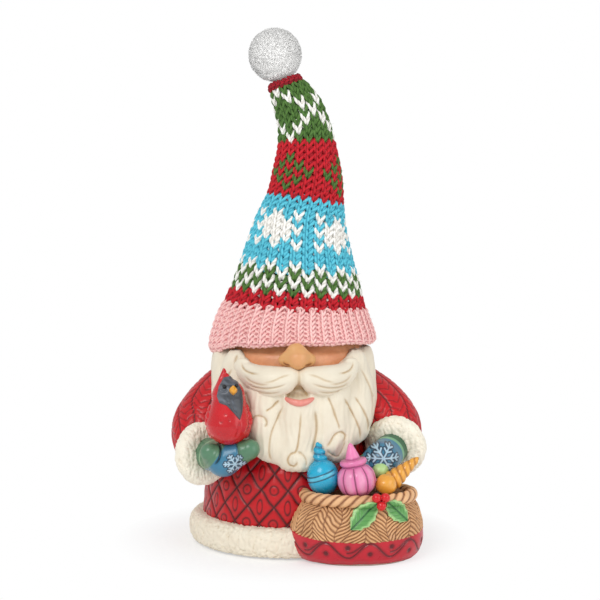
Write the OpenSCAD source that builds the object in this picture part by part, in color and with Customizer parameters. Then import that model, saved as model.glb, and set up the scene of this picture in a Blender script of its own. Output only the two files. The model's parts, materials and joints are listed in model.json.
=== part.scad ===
// Tomte gnome figurine: painted castings glued into one figure, under a stuffed
// knitted hat that lifts off, bends at its tip and carries a swinging pom-pom.
// Millimetres. +Z up, the gnome faces -Y, the origin is the middle of the robe's foot
// on the resting surface. Left and right are the gnome's own: its right hand is at -X.

/* [Robe] */
// Radius of the robe at its foot
robe_foot_r = 42; // [35:0.5:51]
// Radius of the robe at the neck
robe_neck_r = 27; // [23:0.5:30]
// Height of the robe's flat top, where the head sits
neck_z = 71.5; // [62:0.5:86]
// Thickness of the felt under the base
felt_t = 0.8; // [0.5:0.1:1.5]
// How far the fur hem stands out past the robe
hem_bulge = 7; // [4:0.5:9]
// Height of the fur hem's top
hem_h = 14.5; // [11:0.5:18]

/* [Head] */
// Radius of the head where the hat's brim sits on it
head_r = 33; // [29:0.5:34]
// Height of the crown above the hat's brim
crown_h = 38; // [32:1:45]
// Height from the neck to the hat's brim
face_h = 21; // [18:0.5:25]
// Radius of the nose across its wings
nose_r = 8; // [6.5:0.25:9.5]

/* [Arms] */
// Radius of the sleeve at the shoulder
shoulder_r = 16.5; // [14:0.5:19]
// Radius of the sleeve at the elbow
elbow_r = 14.5; // [12.5:0.5:17]
// Outer radius of the fur cuffs
cuff_r = 14; // [11.5:0.5:16.5]
// Width of the fur cuffs along the arm
cuff_w = 9; // [7.5:0.5:10.5]
// Radius of the mittens' tenons, which run through the cuffs into the sleeves
tenon_r = 4.5; // [3.8:0.1:5.4]

/* [Bird] */
// Radius of the bird's body
bird_r = 10.2; // [8.5:0.1:12.2]
// Radius of the bird's head
bird_head_r = 7; // [6:0.1:8.2]

/* [Basket] */
// Half width of the basket at its widest
basket_a = 30; // [25.5:0.5:36.5]
// Half depth of the basket at its widest
basket_b = 21; // [18:0.2:25]
// Height of the basket's filled top, where the ornaments stand
basket_top = 29.5; // [26:0.5:35]
// Height of the painted foot of the basket
basket_foot_h = 14; // [12:0.5:16]
// Radius of the rope round the basket's mouth
rope_r = 2.8; // [2.3:0.1:3.3]
// Radius of the blue ornament
blue_r = 7; // [5.9:0.1:8.4]
// Radius of the pink ornament
pink_r = 8.2; // [6.9:0.1:9.8]
// Radius of the orange ball
orange_r = 4.7; // [4:0.1:5.6]
// Radius of the green ball
green_r = 3.9; // [3.3:0.1:4.6]

/* [Hat] */
// Height of the hat from its brim to the gathered mouth under the pom-pom
hat_h = 124; // [104:1:148]
// Width of the ribbed band
brim_h = 18.5; // [16:0.5:22]
// Thickness of the ribbed band
brim_t = 4.6; // [3.9:0.1:5.5]
// Wall of the knitted cone
knit_t = 2.5; // [2:0.1:3]
// Radius of the hat where its tip starts to bend
bend_r = 16.2; // [13.5:0.2:19]
// Radius of the gathered mouth
mouth_r = 7; // [6:0.1:8.4]
// Radius of the pom-pom
pompom_r = 12.5; // [10.5:0.5:15]

/* [Fit] */
// Glue gap between castings
glue = 0.15; // [0.1:0.05:0.25]
// Running gap between the hat and the head, and at the hat's bend
play = 0.35; // [0.3:0.05:0.5]
// Most that the hat's tip bends each way
bend_deg = 10; // [6:1:11]
// Most that the pom-pom tips each way
swing_deg = 10; // [6:1:16]

/* [Hidden] */
$fn = 20;
round_fn = 48;
skin = "#cd8a66";
cream = "#ede6d2";
robe_red = "#b81f2f";
fur = "#f1ead9";
knit_pink = "#f2b3b8";
knit_green = "#4f8036";
knit_blue = "#5cbfe0";

// --- Robe, hem and felt ---
robe_foot_z = felt_t;
hem_r = robe_foot_r + hem_bulge;
shoulder_z = neck_z - 5.6;

// --- Head and hat seat ---
brim_z = neck_z + face_h;
crown_z = brim_z + crown_h;
cheek_r = head_r + 3;
head_tenon_r = 8;
head_tenon_l = 10;
nose_at = [-0.5, -cheek_r - nose_r + 0.5, brim_z - 2];
nose_peg_r = 2;

// --- Arms: shoulder, elbow, cuff centre and cuff direction of each ---
shoulder_x = robe_neck_r + 3;
right_shoulder = [-shoulder_x, 2, shoulder_z];
left_shoulder = [shoulder_x, 2, shoulder_z];
right_elbow = right_shoulder + [-12.5, -10, -13.9];
left_elbow = left_shoulder + [15, -10, -10.9];
right_wrist = right_elbow + [0.5, -16, -7];
left_wrist = left_elbow + [1, -14, -8];
right_aim = [0.62, -0.77, 0.1];
left_aim = [-0.35, -0.9, -0.2];
socket_l = 5;

// --- Mittens ---
right_palm = right_wrist + [9, -18, 0];
right_tip = right_palm + [11.5, -5, 5.5];
right_thumb = right_palm + [-6.5, -1, 3.7];
palm_r = 7.5;
left_palm = left_wrist + [-8, -14, -3];
left_tip = left_palm + [-6.5, -1, -3];

// --- Bird ---
bird_at = right_palm + [2, -2, palm_r + bird_r - 0.6];
bird_head = bird_at + [0.3, -1.6, bird_r + bird_head_r - 4.6];
bird_crest = bird_head + [-2.4, 1.6, bird_head_r + 3.4];
bird_bib = bird_head + [3.6, -5.4, -9.6];
bird_pin_r = 0.8;

// --- Basket and what it holds ---
basket_at = [27, -robe_foot_r, 0];
mouth_a = basket_a - 6.3;
mouth_b = basket_b - 4.4;
rope_z = basket_top - 1.7;
blue_at = basket_at + [-16.9, -4, basket_top + blue_r + 1];
pink_at = basket_at + [-1.8, -8, basket_top + pink_r - 1.3];
orange_at = pink_at + [pink_r + orange_r + 0.2, 0, orange_r + 1.6 - pink_r];
green_at = orange_at + [-1.5, 7.6, orange_r];
icicle_at = basket_at + [13.9, -4, basket_top + 5.2];
icicle_end = icicle_at + [12, 2, 9.8];
foot_slope = 7;
leaf_t = 1.6;
leaf_over_rope = 0.8;
leaf_at = basket_at + [0.3, -basket_b, basket_top - 6];
// Each holly leaf is [offset along the basket, offset in height, turn, length, width].
leaves = [[0, -0.6, 43, 16, 9.4], [15, 0.6, 136, 12.8, 8.2]];
berry_r = 1.95;
pin_r = 1.5;
basket_pin_dx = [-12, 0];

// --- Hat ---
brim_top = brim_z + brim_h;
head_top_r = head_r - 0.21 * brim_h;
hat_in_r = head_r + play;
bend_share = 0.65;
bend_at = [7, 0, brim_z + bend_share * hat_h];
mouth_at = [-3.9, 0, brim_z + hat_h];
mouth_lean = -20;
bend_gap = bend_r * tan(bend_deg) + 0.5;
bend_ball = bend_r - knit_t - 1.4;
edge_h = 2.4;
knot_r = 1.2;
thread_r = 0.6;
pompom_at = [0, 0, pompom_r - 0.6];

// Each station of the hat is [centre x, height, radius, lean of the ring].
knit_stations = [
    [0.6, brim_top + 0.2, head_top_r + play + knit_t + 1.2, 0],
    [3.8, brim_z + 0.36 * hat_h, 0.52 * hat_in_r + 0.45 * bend_r, 0],
    [6.3, brim_z + 0.55 * hat_h, bend_r + 2, 0],
    [bend_at.x, bend_at.z, bend_r, 0]
];
tip_stations = [
    [bend_at.x, bend_at.z + bend_gap, bend_r - 0.3, 0],
    [bend_at.x - 0.2, brim_z + 0.77 * hat_h, bend_r - 1.9, -2],
    [bend_at.x - 3, brim_z + 0.875 * hat_h, 0.5 * (bend_r + mouth_r), -10],
    [mouth_at.x + 3.6, mouth_at.z - 8.4, mouth_r + 2, -17],
    [mouth_at.x + edge_h * sin(-mouth_lean), mouth_at.z - edge_h * cos(mouth_lean), mouth_r + 0.2, mouth_lean]
];

// --- Helpers ---
// One closed skin from a carved shape, at its own size.
module sculpted() {
    resize([0, 0, 0]) children();
}

// Turns +Z to face along a direction.
module aimed(at, dir) {
    translate(at) rotate([0, acos(dir.z / norm(dir)), atan2(dir.y, dir.x)]) children();
}

// Two balls and the taper between them.
module limb(a, ra, b, rb) {
    hull() {
        translate(a) sphere(ra);
        translate(b) sphere(rb);
    }
}

// A chain of limbs through balls given as [[x, y, z], radius].
module strand(balls, g = 0) {
    for (i = [0 : len(balls) - 2])
        limb(balls[i][0], balls[i][1] + g, balls[i + 1][0], balls[i + 1][1] + g);
}

module mirrored() {
    children();
    mirror([1, 0, 0]) children();
}

// A revolve about +Z through [radius, height] points, grown by g.
module turned(points, g = 0) {
    rotate_extrude($fn = round_fn) offset_points(points, g);
}

module offset_points(points, g) {
    last = len(points) - 1;
    polygon([for (i = [0 : last]) [
        points[i].x == 0 ? 0 : points[i].x + g,
        i == 0 ? points[i].y - g : i == last ? points[i].y + g : points[i].y
    ]]);
}

// One ring of points of the hat, drawn in from its station's radius.
function ring_at(s, inset, n) = [for (i = [0 : n - 1])
    let (u = (s[2] - inset) * cos(360 * i / n), v = (s[2] - inset) * sin(360 * i / n))
    [s[0] + u * cos(s[3]), v, s[1] - u * sin(s[3])]];

// A solid through the hat's stations.
module loft(stations, inset = 0, n = 30) {
    rings = [for (s = stations) ring_at(s, inset, n)];
    m = len(rings);
    sides = [for (k = [0 : m - 2], i = [0 : n - 1])
        let (a = k * n + i, b = k * n + (i + 1) % n)
        each [[a, b + n, b], [a, a + n, b + n]]];
    foot = [for (i = [0 : n - 1]) i];
    cap = [for (i = [n - 1 : -1 : 0]) (m - 1) * n + i];
    polyhedron([for (r = rings) each r], concat(sides, [foot, cap]));
}

// An open tube through the hat's stations: its rings go up the outside and back down the inside.
module knit_wall(stations, n = 30) {
    m = 2 * len(stations);
    up = [for (s = stations) ring_at(s, 0, n)];
    down = [for (k = [len(stations) - 1 : -1 : 0]) ring_at(stations[k], knit_t, n)];
    sides = [for (k = [0 : m - 1], i = [0 : n - 1])
        let (a = k * n + i, b = k * n + (i + 1) % n, over = (k + 1) % m * n - k * n)
        each [[a, b + over, b], [a, a + over, b + over]]];
    polyhedron([for (r = concat(up, down)) each r], sides);
}

// --- Shapes that pieces share, each grown by g where a neighbour is cut to it ---
robe_points = [
    [0, robe_foot_z], [robe_foot_r, robe_foot_z], [robe_foot_r, hem_h + 2],
    [robe_foot_r - 0.8, 0.36 * neck_z], [robe_foot_r - 3, 0.52 * neck_z],
    [0.45 * robe_foot_r + 0.55 * robe_neck_r, 0.75 * neck_z], [robe_neck_r, neck_z], [0, neck_z]
];
module robe_form(g = 0) {
    turned(robe_points, g);
}

hem_points = [
    [robe_foot_r - 3, robe_foot_z], [hem_r - 6, robe_foot_z], [hem_r - 1.8, robe_foot_z + 2.6],
    [hem_r, 0.5 * hem_h], [hem_r - 1.6, hem_h - 3], [hem_r - 5, hem_h], [robe_foot_r - 3, hem_h]
];
module hem_form(g = 0) {
    turned(hem_points, g);
}

head_points = [
    [0, neck_z], [robe_neck_r, neck_z], [cheek_r - 1.5, neck_z + 0.33 * face_h],
    [cheek_r, neck_z + 0.6 * face_h], [cheek_r - 1, brim_z - 2], [head_r, brim_z - play],
    [head_top_r, brim_top], [0.9 * head_top_r - 0.8, brim_z + 0.68 * crown_h],
    [0.64 * head_top_r, brim_z + 0.86 * crown_h], [0.3 * head_top_r, crown_z - 0.8], [0, crown_z]
];
module head_form(g = 0) {
    turned(head_points, g);
}

// Everything that the lifted hat sweeps, so nothing below it stands in its way.
module hat_path() {
    translate([0, 0, brim_z - play - 0.1]) cylinder(r = hat_in_r + brim_t + 2.6, h = hat_h, $fn = 48);
}

hair_points = [
    [robe_neck_r, neck_z - 10], [robe_foot_r - 4, neck_z - 12], [cheek_r + 2.9, neck_z],
    [cheek_r + 2.9, brim_z - 8], [cheek_r + 1.8, brim_z - play], [robe_neck_r, brim_z - play]
];
module hair_form(g = 0) {
    rotate_extrude(angle = 196, start = -8, $fn = 48) offset_points(hair_points, g);
}

// The beard's middle lock, and those on the gnome's left, which the right side mirrors.
middle_lock = [[[0, -33, neck_z - 2], 13.5], [[0.4, -40.5, neck_z - 25.5], 7.5]];
beard_locks = [
    [[[14, -31, neck_z - 1], 13.5], [[12.5, -38, neck_z - 19.5], 8.5]],
    [[[26, -24, neck_z + 2], 11.5], [[24, -31, neck_z - 15], 9]],
    [[[31, -12, brim_z - 7], 7], [[29, -18, neck_z - 2], 10]]
];
module beard_form(g = 0) {
    strand(middle_lock, g, $fn = 16);
    mirrored() for (lock = beard_locks) strand(lock, g, $fn = 16);
}

mouth_at_face = [0.3, -cheek_r - 11, neck_z + 1.2];
module mouth_hollow(g = 0) {
    translate(mouth_at_face) scale([7.4 + g, 4 + g, 3.2 + g]) sphere(1);
}

moustache_side = [
    [[3.2, -45.5, neck_z + 8.2], 4.6], [[12.5, -43.5, neck_z + 6.8], 6.2],
    [[21.5, -36.5, neck_z + 10.2], 4.2], [[26, -31.5, neck_z + 15], 2.6]
];
module moustache_form(g = 0) {
    mirrored() strand(moustache_side, g);
}

module nose_form(g = 0) {
    translate(nose_at) scale([1, 0.86, 0.78]) sphere(nose_r + g);
}

module sleeve_form(shoulder, elbow, wrist, aim, g) {
    strand([[shoulder, shoulder_r], [elbow, elbow_r], [wrist - 6 * aim, cuff_r - 2]], g);
}
module right_sleeve_form(g = 0) {
    sleeve_form(right_shoulder, right_elbow, right_wrist, right_aim, g);
}
module left_sleeve_form(g = 0) {
    sleeve_form(left_shoulder, left_elbow, left_wrist, left_aim, g);
}

cuff_points = [
    [tenon_r + 1, -cuff_w / 2], [cuff_r - 2.6, -cuff_w / 2], [cuff_r - 0.6, -cuff_w / 4],
    [cuff_r, 0], [cuff_r - 0.6, cuff_w / 4], [cuff_r - 3, cuff_w / 2], [tenon_r + 1, cuff_w / 2]
];
// The cuff and all that lies beyond it along the arm.
module past_cuff(at, aim) {
    aimed(at, aim) translate([0, 0, -cuff_w / 2 - glue]) cylinder(r = cuff_r + glue, h = 40);
}
// The room that a cuff fills, without its bore.
module cuff_room(at, aim) {
    aimed(at, aim) translate([0, 0, -cuff_w / 2 - glue])
        cylinder(r = cuff_r + glue, h = cuff_w + 2 * glue);
}
module tenon_bore(at, aim) {
    aimed(at, aim) translate([0, 0, -cuff_w / 2 - socket_l]) cylinder(r = tenon_r + glue, h = 40);
}

module right_mitten_form(g = 0) {
    strand([[right_wrist + 7 * right_aim, 7.5], [right_palm, palm_r], [right_tip, 4.4]], g);
    limb(right_palm + [-2, 0, 0], 5.5 + g, right_thumb, 4.4 + g);
}
module left_mitten_form(g = 0) {
    strand([[left_wrist + 6 * left_aim, 8], [left_palm, 7.6], [left_tip, 5.4]], g);
    limb(left_palm + [3, 0, -2], 5 + g, left_palm + [5.5, -1, -5], 3.8 + g);
}

module bird_form(g = 0) {
    strand([[bird_at, bird_r], [bird_head, bird_head_r], [bird_crest, 0.9]], g);
    limb(bird_at + [-1, 3, -2], 6 + g, bird_at + [-4, 9.5, -7], 2.2 + g);
}
module mask_form(g = 0) {
    limb(bird_head + [0.4, -1.8, 0.4], bird_head_r - 0.6 + g, bird_bib, 1.8 + g);
}
module bird_pin_form(g = 0) {
    translate(right_palm + [2, -2, 1.5]) cylinder(r = bird_pin_r + g, h = palm_r + 6);
}

// Half widths of the basket at each height; its depth follows basket_b.
basket_points = [
    [0, felt_t], [basket_a - 3.2, felt_t], [basket_a - 1.2, felt_t + 2.6],
    [basket_a - 0.2, 0.24 * basket_top], [basket_a, 0.37 * basket_top],
    [basket_a - 0.5, 0.54 * basket_top], [basket_a - 1.7, 0.7 * basket_top],
    [basket_a - 3.4, 0.81 * basket_top], [basket_a - 5, rope_z - 1.5],
    [mouth_a, rope_z], [mouth_a, basket_top], [0, basket_top]
];
module basket_form(g = 0) {
    translate([basket_at.x, basket_at.y, 0]) scale([1, (basket_b + g) / (basket_a + g), 1])
        rotate_extrude($fn = 40) offset_points(basket_points, g);
}

// A rope laid round the ellipse of the basket's mouth.
module rope_form(g = 0) {
    n = 36;
    m = 8;
    points = [for (i = [0 : n - 1], k = [0 : m - 1])
        let (a = 360 * i / n, c = [mouth_a * cos(a), mouth_b * sin(a)],
            out = [mouth_b * cos(a), mouth_a * sin(a)] / norm([mouth_b * cos(a), mouth_a * sin(a)]),
            r = rope_r + g)
        [c.x + out.x * r * cos(360 * k / m), c.y + out.y * r * cos(360 * k / m), r * sin(360 * k / m)]];
    faces = [for (i = [0 : n - 1], k = [0 : m - 1])
        let (a = i * m + k, b = i * m + (k + 1) % m, j = (i + 1) % n,
            c = j * m + (k + 1) % m, d = j * m + k)
        each [[a, b, c], [a, c, d]]];
    translate([basket_at.x, basket_at.y, rope_z]) polyhedron(points, faces);
}

module basket_pin(dx) {
    translate([basket_at.x + dx, basket_at.y + 12, 22]) rotate([90, 0, 0]) children();
}

module ornament_blue(g = 0) {
    translate(blue_at) rotate([0, -9, 0]) {
        sphere(blue_r + g, $fn = 32);
        translate([0, 0, blue_r - 1.2]) cylinder(r1 = 3.4 + g, r2 = 1.7 + g, h = 6.4, $fn = 24);
        translate([0, 0, blue_r + 5]) cylinder(r1 = 1.5 + g, r2 = 0.8 + g, h = 3.2, $fn = 24);
    }
    translate([blue_at.x, blue_at.y, basket_top + glue]) cylinder(r = 3, h = blue_r);
}
module ornament_pink(g = 0) {
    translate(pink_at) rotate([0, -10, 0]) {
        sphere(pink_r + g, $fn = 32);
        translate([0, 0, pink_r - 2.4]) cylinder(r = 4.6 + g, h = 2.2, $fn = 32);
        translate([0, 0, pink_r - 0.8]) cylinder(r = 5.7 + g, h = 2.2, $fn = 32);
        translate([0, 0, pink_r + 1.3]) cylinder(r1 = 3.6 + g, r2 = 0.7, h = 7.3, $fn = 24);
    }
}
module ornament_orange(g = 0) {
    translate(orange_at) sphere(orange_r + g, $fn = 32);
}
module ornament_green(g = 0) {
    translate(green_at) sphere(green_r + g);
}
module ornament_icicle(g = 0) {
    limb(icicle_at, 3.8 + g, icicle_end, 1.2 + g);
}

// A holly leaf, outlined by spikes and the hollows between them.
module leaf_outline(long, wide) {
    polygon([
        [long / 2, 0], [0.27 * long, 0.26 * wide], [0.2 * long, 0.5 * wide], [0.02 * long, 0.3 * wide],
        [-0.16 * long, 0.5 * wide], [-0.26 * long, 0.24 * wide], [-long / 2, 0],
        [-0.26 * long, -0.24 * wide], [-0.16 * long, -0.5 * wide], [0.02 * long, -0.3 * wide],
        [0.2 * long, -0.5 * wide], [0.27 * long, -0.26 * wide]
    ]);
}
module leaf_room(leaf) {
    translate(leaf_at + [leaf[0], -3, leaf[1]]) rotate([90, 0, 0]) rotate(leaf[2])
        linear_extrude(height = 16, center = true) leaf_outline(leaf[3], leaf[4]);
}

module berries_form(g = 0) {
    front = basket_at + [7.7, -mouth_b - rope_r - 0.2, rope_z];
    step = berry_r - 0.15;
    for (p = [[-step, 0.4, 3], [step, 0.5, 3.1], [0.1, -0.4, 3 - 2.2 * step]])
        translate(front + p) sphere(berry_r + g, $fn = 12);
}

// --- Figure ---
module base_felt() {
    color("#d8d0c0") linear_extrude(height = felt_t) {
        circle(r = hem_r - 7, $fn = round_fn);
        translate([basket_at.x, basket_at.y]) scale([1, basket_b / basket_a])
            circle(r = basket_a - 7.2, $fn = 40);
    }
}

module robe() {
    color(robe_red) difference() {
        robe_form();
        translate([0, 0, neck_z - head_tenon_l - 1]) cylinder(r = head_tenon_r + glue, h = 20, $fn = 48);
        shoulder_pin_bores();
        basket_pin_bores();
    }
}

module shoulder_pin_bores() {
    mirrored() translate([robe_neck_r - 9, 2, shoulder_z - 8]) rotate([0, 90, 0])
        cylinder(r = pin_r + 0.05, h = 20.1, $fn = 24);
}

module shoulder_pins() {
    color("silver") mirrored() translate([robe_neck_r - 8.9, 2, shoulder_z - 8]) rotate([0, 90, 0])
        cylinder(r = pin_r, h = 20, $fn = 24);
}

module fur_hem() {
    color(fur) difference() {
        hem_form();
        translate([0, 0, -1]) cylinder(r = robe_foot_r + glue, h = hem_h + 4, $fn = round_fn);
    }
}

module right_sleeve() {
    color(robe_red) difference() {
        sculpted() difference() {
            right_sleeve_form();
            robe_form(glue);
            head_form(glue);
            past_cuff(right_wrist, right_aim);
        }
        tenon_bore(right_wrist, right_aim);
        shoulder_pin_bores();
    }
}

module left_sleeve() {
    color(robe_red) difference() {
        sculpted() difference() {
            left_sleeve_form();
            robe_form(glue);
            head_form(glue);
            past_cuff(left_wrist, left_aim);
        }
        tenon_bore(left_wrist, left_aim);
        shoulder_pin_bores();
    }
}

module cuff(at, aim) {
    color(fur) difference() {
        sculpted() difference() {
            aimed(at, aim) rotate_extrude($fn = 40) polygon(cuff_points);
            robe_form(glue);
            basket_form(glue);
        }
        tenon_bore(at, aim);
    }
}
module right_cuff() {
    cuff(right_wrist, right_aim);
}
module left_cuff() {
    cuff(left_wrist, left_aim);
}

module right_mitten() {
    color("#5f9a7a") {
        difference() {
            sculpted() difference() {
                right_mitten_form();
                cuff_room(right_wrist, right_aim);
                robe_form(glue);
            }
            bird_pin_form(0.05);
        }
        mitten_tenon(right_wrist, right_aim);
    }
}
module left_mitten() {
    color("#3f86a6") {
        sculpted() difference() {
            left_mitten_form();
            cuff_room(left_wrist, left_aim);
            robe_form(glue);
            basket_form(glue);
            rope_form(glue);
            ornament_orange(glue);
            ornament_green(glue);
            ornament_pink(glue);
            ornament_icicle(glue);
        }
        mitten_tenon(left_wrist, left_aim);
    }
}
module mitten_tenon(at, aim) {
    aimed(at, aim) translate([0, 0, -cuff_w / 2 - socket_l + 0.3])
        cylinder(r = tenon_r, h = cuff_w + socket_l + 2.5, $fn = 32);
}

module head() {
    color(skin) difference() {
        union() {
            head_form();
            translate([0, 0, neck_z - head_tenon_l])
                cylinder(r = head_tenon_r, h = head_tenon_l + 5, $fn = 48);
        }
        nose_peg(0.05);
    }
}

module nose_peg(g) {
    translate([nose_at.x, -cheek_r + 6, nose_at.z - 3]) rotate([90, 0, 0])
        cylinder(r = nose_peg_r + g, h = 10, $fn = 24);
}

module nose() {
    color("#e0a873") {
        sculpted() difference() {
            nose_form();
            head_form(glue);
            hat_path();
        }
        translate([nose_at.x, -cheek_r + 5.9, nose_at.z - 3]) rotate([90, 0, 0])
            cylinder(r = nose_peg_r, h = 9.9, $fn = 24);
    }
}

module hair_back() {
    color(cream) sculpted() difference() {
        hair_form();
        robe_form(glue);
        head_form(glue);
        right_sleeve_form(glue);
        left_sleeve_form(glue);
        hat_path();
    }
}

module beard() {
    color(cream) sculpted() difference() {
        beard_form();
        robe_form(glue);
        head_form(glue);
        hair_form(glue);
        moustache_form(glue);
        nose_form(glue);
        mouth_hollow();
        right_sleeve_form(glue);
        left_sleeve_form(glue);
        cuff_room(right_wrist, right_aim);
        cuff_room(left_wrist, left_aim);
        right_mitten_form(glue);
        left_mitten_form(glue);
        bird_form(glue);
        ornament_blue(glue);
        ornament_pink(glue);
        hat_path();
    }
}

module moustache() {
    color(cream) sculpted() difference() {
        moustache_form($fn = 16);
        head_form(glue);
        nose_form(glue);
        hat_path();
    }
}

module lower_lip() {
    color("#e08a8a") sculpted() difference() {
        mouth_hollow(-glue);
        beard_form(-0.8);
        moustache_form(glue);
        head_form(glue);
        translate(mouth_at_face + [0, 0, 1.6]) cube([30, 30, 4], center = true);
    }
}

// --- Bird ---
module cardinal_body() {
    color("#c2202e") difference() {
        sculpted() difference() {
            bird_form();
            right_mitten_form(glue);
            mask_form(glue);
        }
        bird_pin_form(0.05);
    }
}

module cardinal_mask() {
    color("#42464c") sculpted() difference() {
        mask_form();
        right_mitten_form(glue);
    }
}

module cardinal_beak() {
    color("#e2a62b") sculpted() difference() {
        translate(bird_head + [1.6, -bird_head_r - 0.2, 2.4]) rotate([98, 0, 8])
            cylinder(r1 = 2.3, r2 = 0.3, h = 5, $fn = 16);
        mask_form(glue);
    }
}

module cardinal_wings() {
    color("#ad1c29") sculpted() difference() {
        for (side = [-1, 1])
            limb(bird_at + [side * (bird_r - 2.2), -1, 4.5], 3.4,
                bird_at + [side * (bird_r - 1.4), 1.5, -5.5], 2.4, $fn = 14);
        bird_form(glue);
        mask_form(glue);
        right_mitten_form(glue);
        beard_form(glue);
        right_sleeve_form(glue);
    }
}

module cardinal_pin() {
    color("silver") bird_pin_form();
}

// --- Basket ---
module basket_body() {
    sculpted() difference() {
        basket_form();
        robe_form(glue);
        hem_form(glue);
        rope_form(glue);
    }
}

module basket_foot() {
    color("#b51f38") intersection() {
        basket_body();
        foot_room();
    }
}

module basket_weave() {
    color("#c69a62") difference() {
        basket_body();
        foot_room();
        basket_pin_bores();
    }
}

// All below the foot's painted edge, which slopes down to the front.
module foot_room() {
    translate([basket_at.x, basket_at.y, basket_foot_h]) rotate([foot_slope, 0, 0])
        translate([-2 * basket_a, -3 * basket_b, -40]) cube([4 * basket_a, 6 * basket_b, 40]);
}

module cut_slab(z0, z1) {
    translate([basket_at.x - 2 * basket_a, basket_at.y - 2 * basket_b, z0])
        cube([4 * basket_a, 4 * basket_b, z1 - z0]);
}

module basket_pin_bores() {
    for (dx = basket_pin_dx) basket_pin(dx) cylinder(r = pin_r + 0.05, h = 20.2, center = true, $fn = 24);
}

module basket_pins() {
    color("silver") for (dx = basket_pin_dx) basket_pin(dx)
        cylinder(r = pin_r, h = 20, center = true, $fn = 24);
}

module basket_rope() {
    color("#dda671") sculpted() difference() {
        rope_form();
        robe_form(glue);
    }
}

module holly_leaves() {
    color("#86bf6c") sculpted() difference() {
        intersection() {
            union() {
                basket_form(leaf_t);
                rope_form(leaf_over_rope);
            }
            for (leaf = leaves) leaf_room(leaf);
        }
        basket_form(glue);
        rope_form(glue);
        berries_form(glue);
    }
}

module holly_berries() {
    color("#c81e2b") sculpted() difference() {
        berries_form();
        rope_form(glue);
        basket_form(glue);
    }
}

module blue_ornament() {
    color("#2b9fc9") ornament_blue();
}

module pink_ornament() {
    color("#e070a8") difference() {
        ornament_pink();
        cut_slab(0, basket_top + glue);
    }
}

module orange_ornament() {
    color("#e29b3c") ornament_orange();
}

module green_ornament() {
    color("#a6d888") ornament_green();
}

module icicle_ornament() {
    color("#dd9436") sculpted() difference() {
        ornament_icicle($fn = 16);
        ornament_orange(glue);
        ornament_green(glue);
        rope_form(glue);
    }
}

// --- Hat ---
module hat_brim() {
    color(knit_pink) turned_ring([
        [hat_in_r, brim_z], [hat_in_r + brim_t, brim_z], [hat_in_r + brim_t + 1.7, brim_z + 2],
        [hat_in_r + brim_t + 1.5, brim_z + 0.3 * brim_h],
        [head_top_r + play + knit_t + 3.3, brim_z + 0.7 * brim_h],
        [head_top_r + play + knit_t + 1.2, brim_top], [head_top_r + play, brim_top]
    ]);
}
module turned_ring(points) {
    rotate_extrude($fn = round_fn) polygon(points);
}

module hat_knit() {
    color(knit_blue) knit_wall(knit_stations);
}

module hat_stuffing() {
    color("white") sculpted() difference() {
        union() {
            loft(knit_stations, knit_t + glue);
            intersection() {
                translate(bend_at) sphere(bend_ball, $fn = 28);
                translate(bend_at + [0, 0, bend_ball]) cube([60, 60, 2 * bend_ball + 1], center = true);
            }
        }
        head_form(play);
        translate([0, 0, 2 * play]) head_form(play);
        translate([0, 0, brim_top - 1]) cylinder(r = 60, h = 0.2 * crown_h);
    }
}

module hat_tip_knit() {
    color(knit_green) knit_wall(tip_stations);
}

module at_mouth() {
    translate(mouth_at) rotate([0, mouth_lean, 0]) children();
}

module hat_tip_edge() {
    color("#b5202c") at_mouth() rotate_extrude($fn = 48) polygon([
        [mouth_r - knit_t, -edge_h + 0.05], [mouth_r + 0.2, -edge_h + 0.05], [mouth_r + 0.7, -edge_h / 2],
        [mouth_r, -0.3], [mouth_r - 1, 0], [mouth_r - knit_t, -0.2]
    ]);
}

module hat_tip_stuffing() {
    color("white") difference() {
        sculpted() difference() {
            union() {
                loft(tip_stations, knit_t + glue);
                at_mouth() translate([0, 0, -edge_h - 1])
                    cylinder(r = mouth_r - knit_t - glue, h = edge_h + 0.5);
            }
            translate(bend_at) sphere(bend_ball + play, $fn = 28);
        }
        at_mouth() sphere(knot_r + 0.3, $fn = 24);
    }
}

module pompom() {
    color("white") at_mouth() difference() {
        translate(pompom_at) sphere(pompom_r, $fn = 64);
        rotate_extrude($fn = 48) polygon([[0, -5], [2 * mouth_r, -5],
            [2 * mouth_r, 2 * mouth_r * tan(swing_deg + 1.5) + play], [0, play]]);
        sphere(knot_r + 0.05);
        cylinder(r = thread_r + 0.05, h = pompom_r, $fn = 24);
    }
}

module pompom_thread() {
    color("ivory") at_mouth() {
        sphere(knot_r, $fn = 24);
        cylinder(r = thread_r, h = pompom_r - 0.1, $fn = 24);
    }
}

base_felt();
robe();
fur_hem();
shoulder_pins();
right_sleeve();
left_sleeve();
right_cuff();
left_cuff();
right_mitten();
left_mitten();
head();
nose();
hair_back();
beard();
moustache();
lower_lip();
cardinal_body();
cardinal_mask();
cardinal_beak();
cardinal_wings();
cardinal_pin();
basket_foot();
basket_weave();
basket_rope();
basket_pins();
holly_leaves();
holly_berries();
blue_ornament();
pink_ornament();
orange_ornament();
green_ornament();
icicle_ornament();
hat_brim();
hat_knit();
hat_stuffing();
hat_tip_knit();
hat_tip_edge();
hat_tip_stuffing();
pompom();
pompom_thread();
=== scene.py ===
"""The looks of a tomte gnome figurine: painted cast resin under a knitted hat.

Shapes are worked out in millimetres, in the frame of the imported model, and made
in metres. Left and right are the gnome's own, and it faces -Y.
"""

import json
import math

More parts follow.
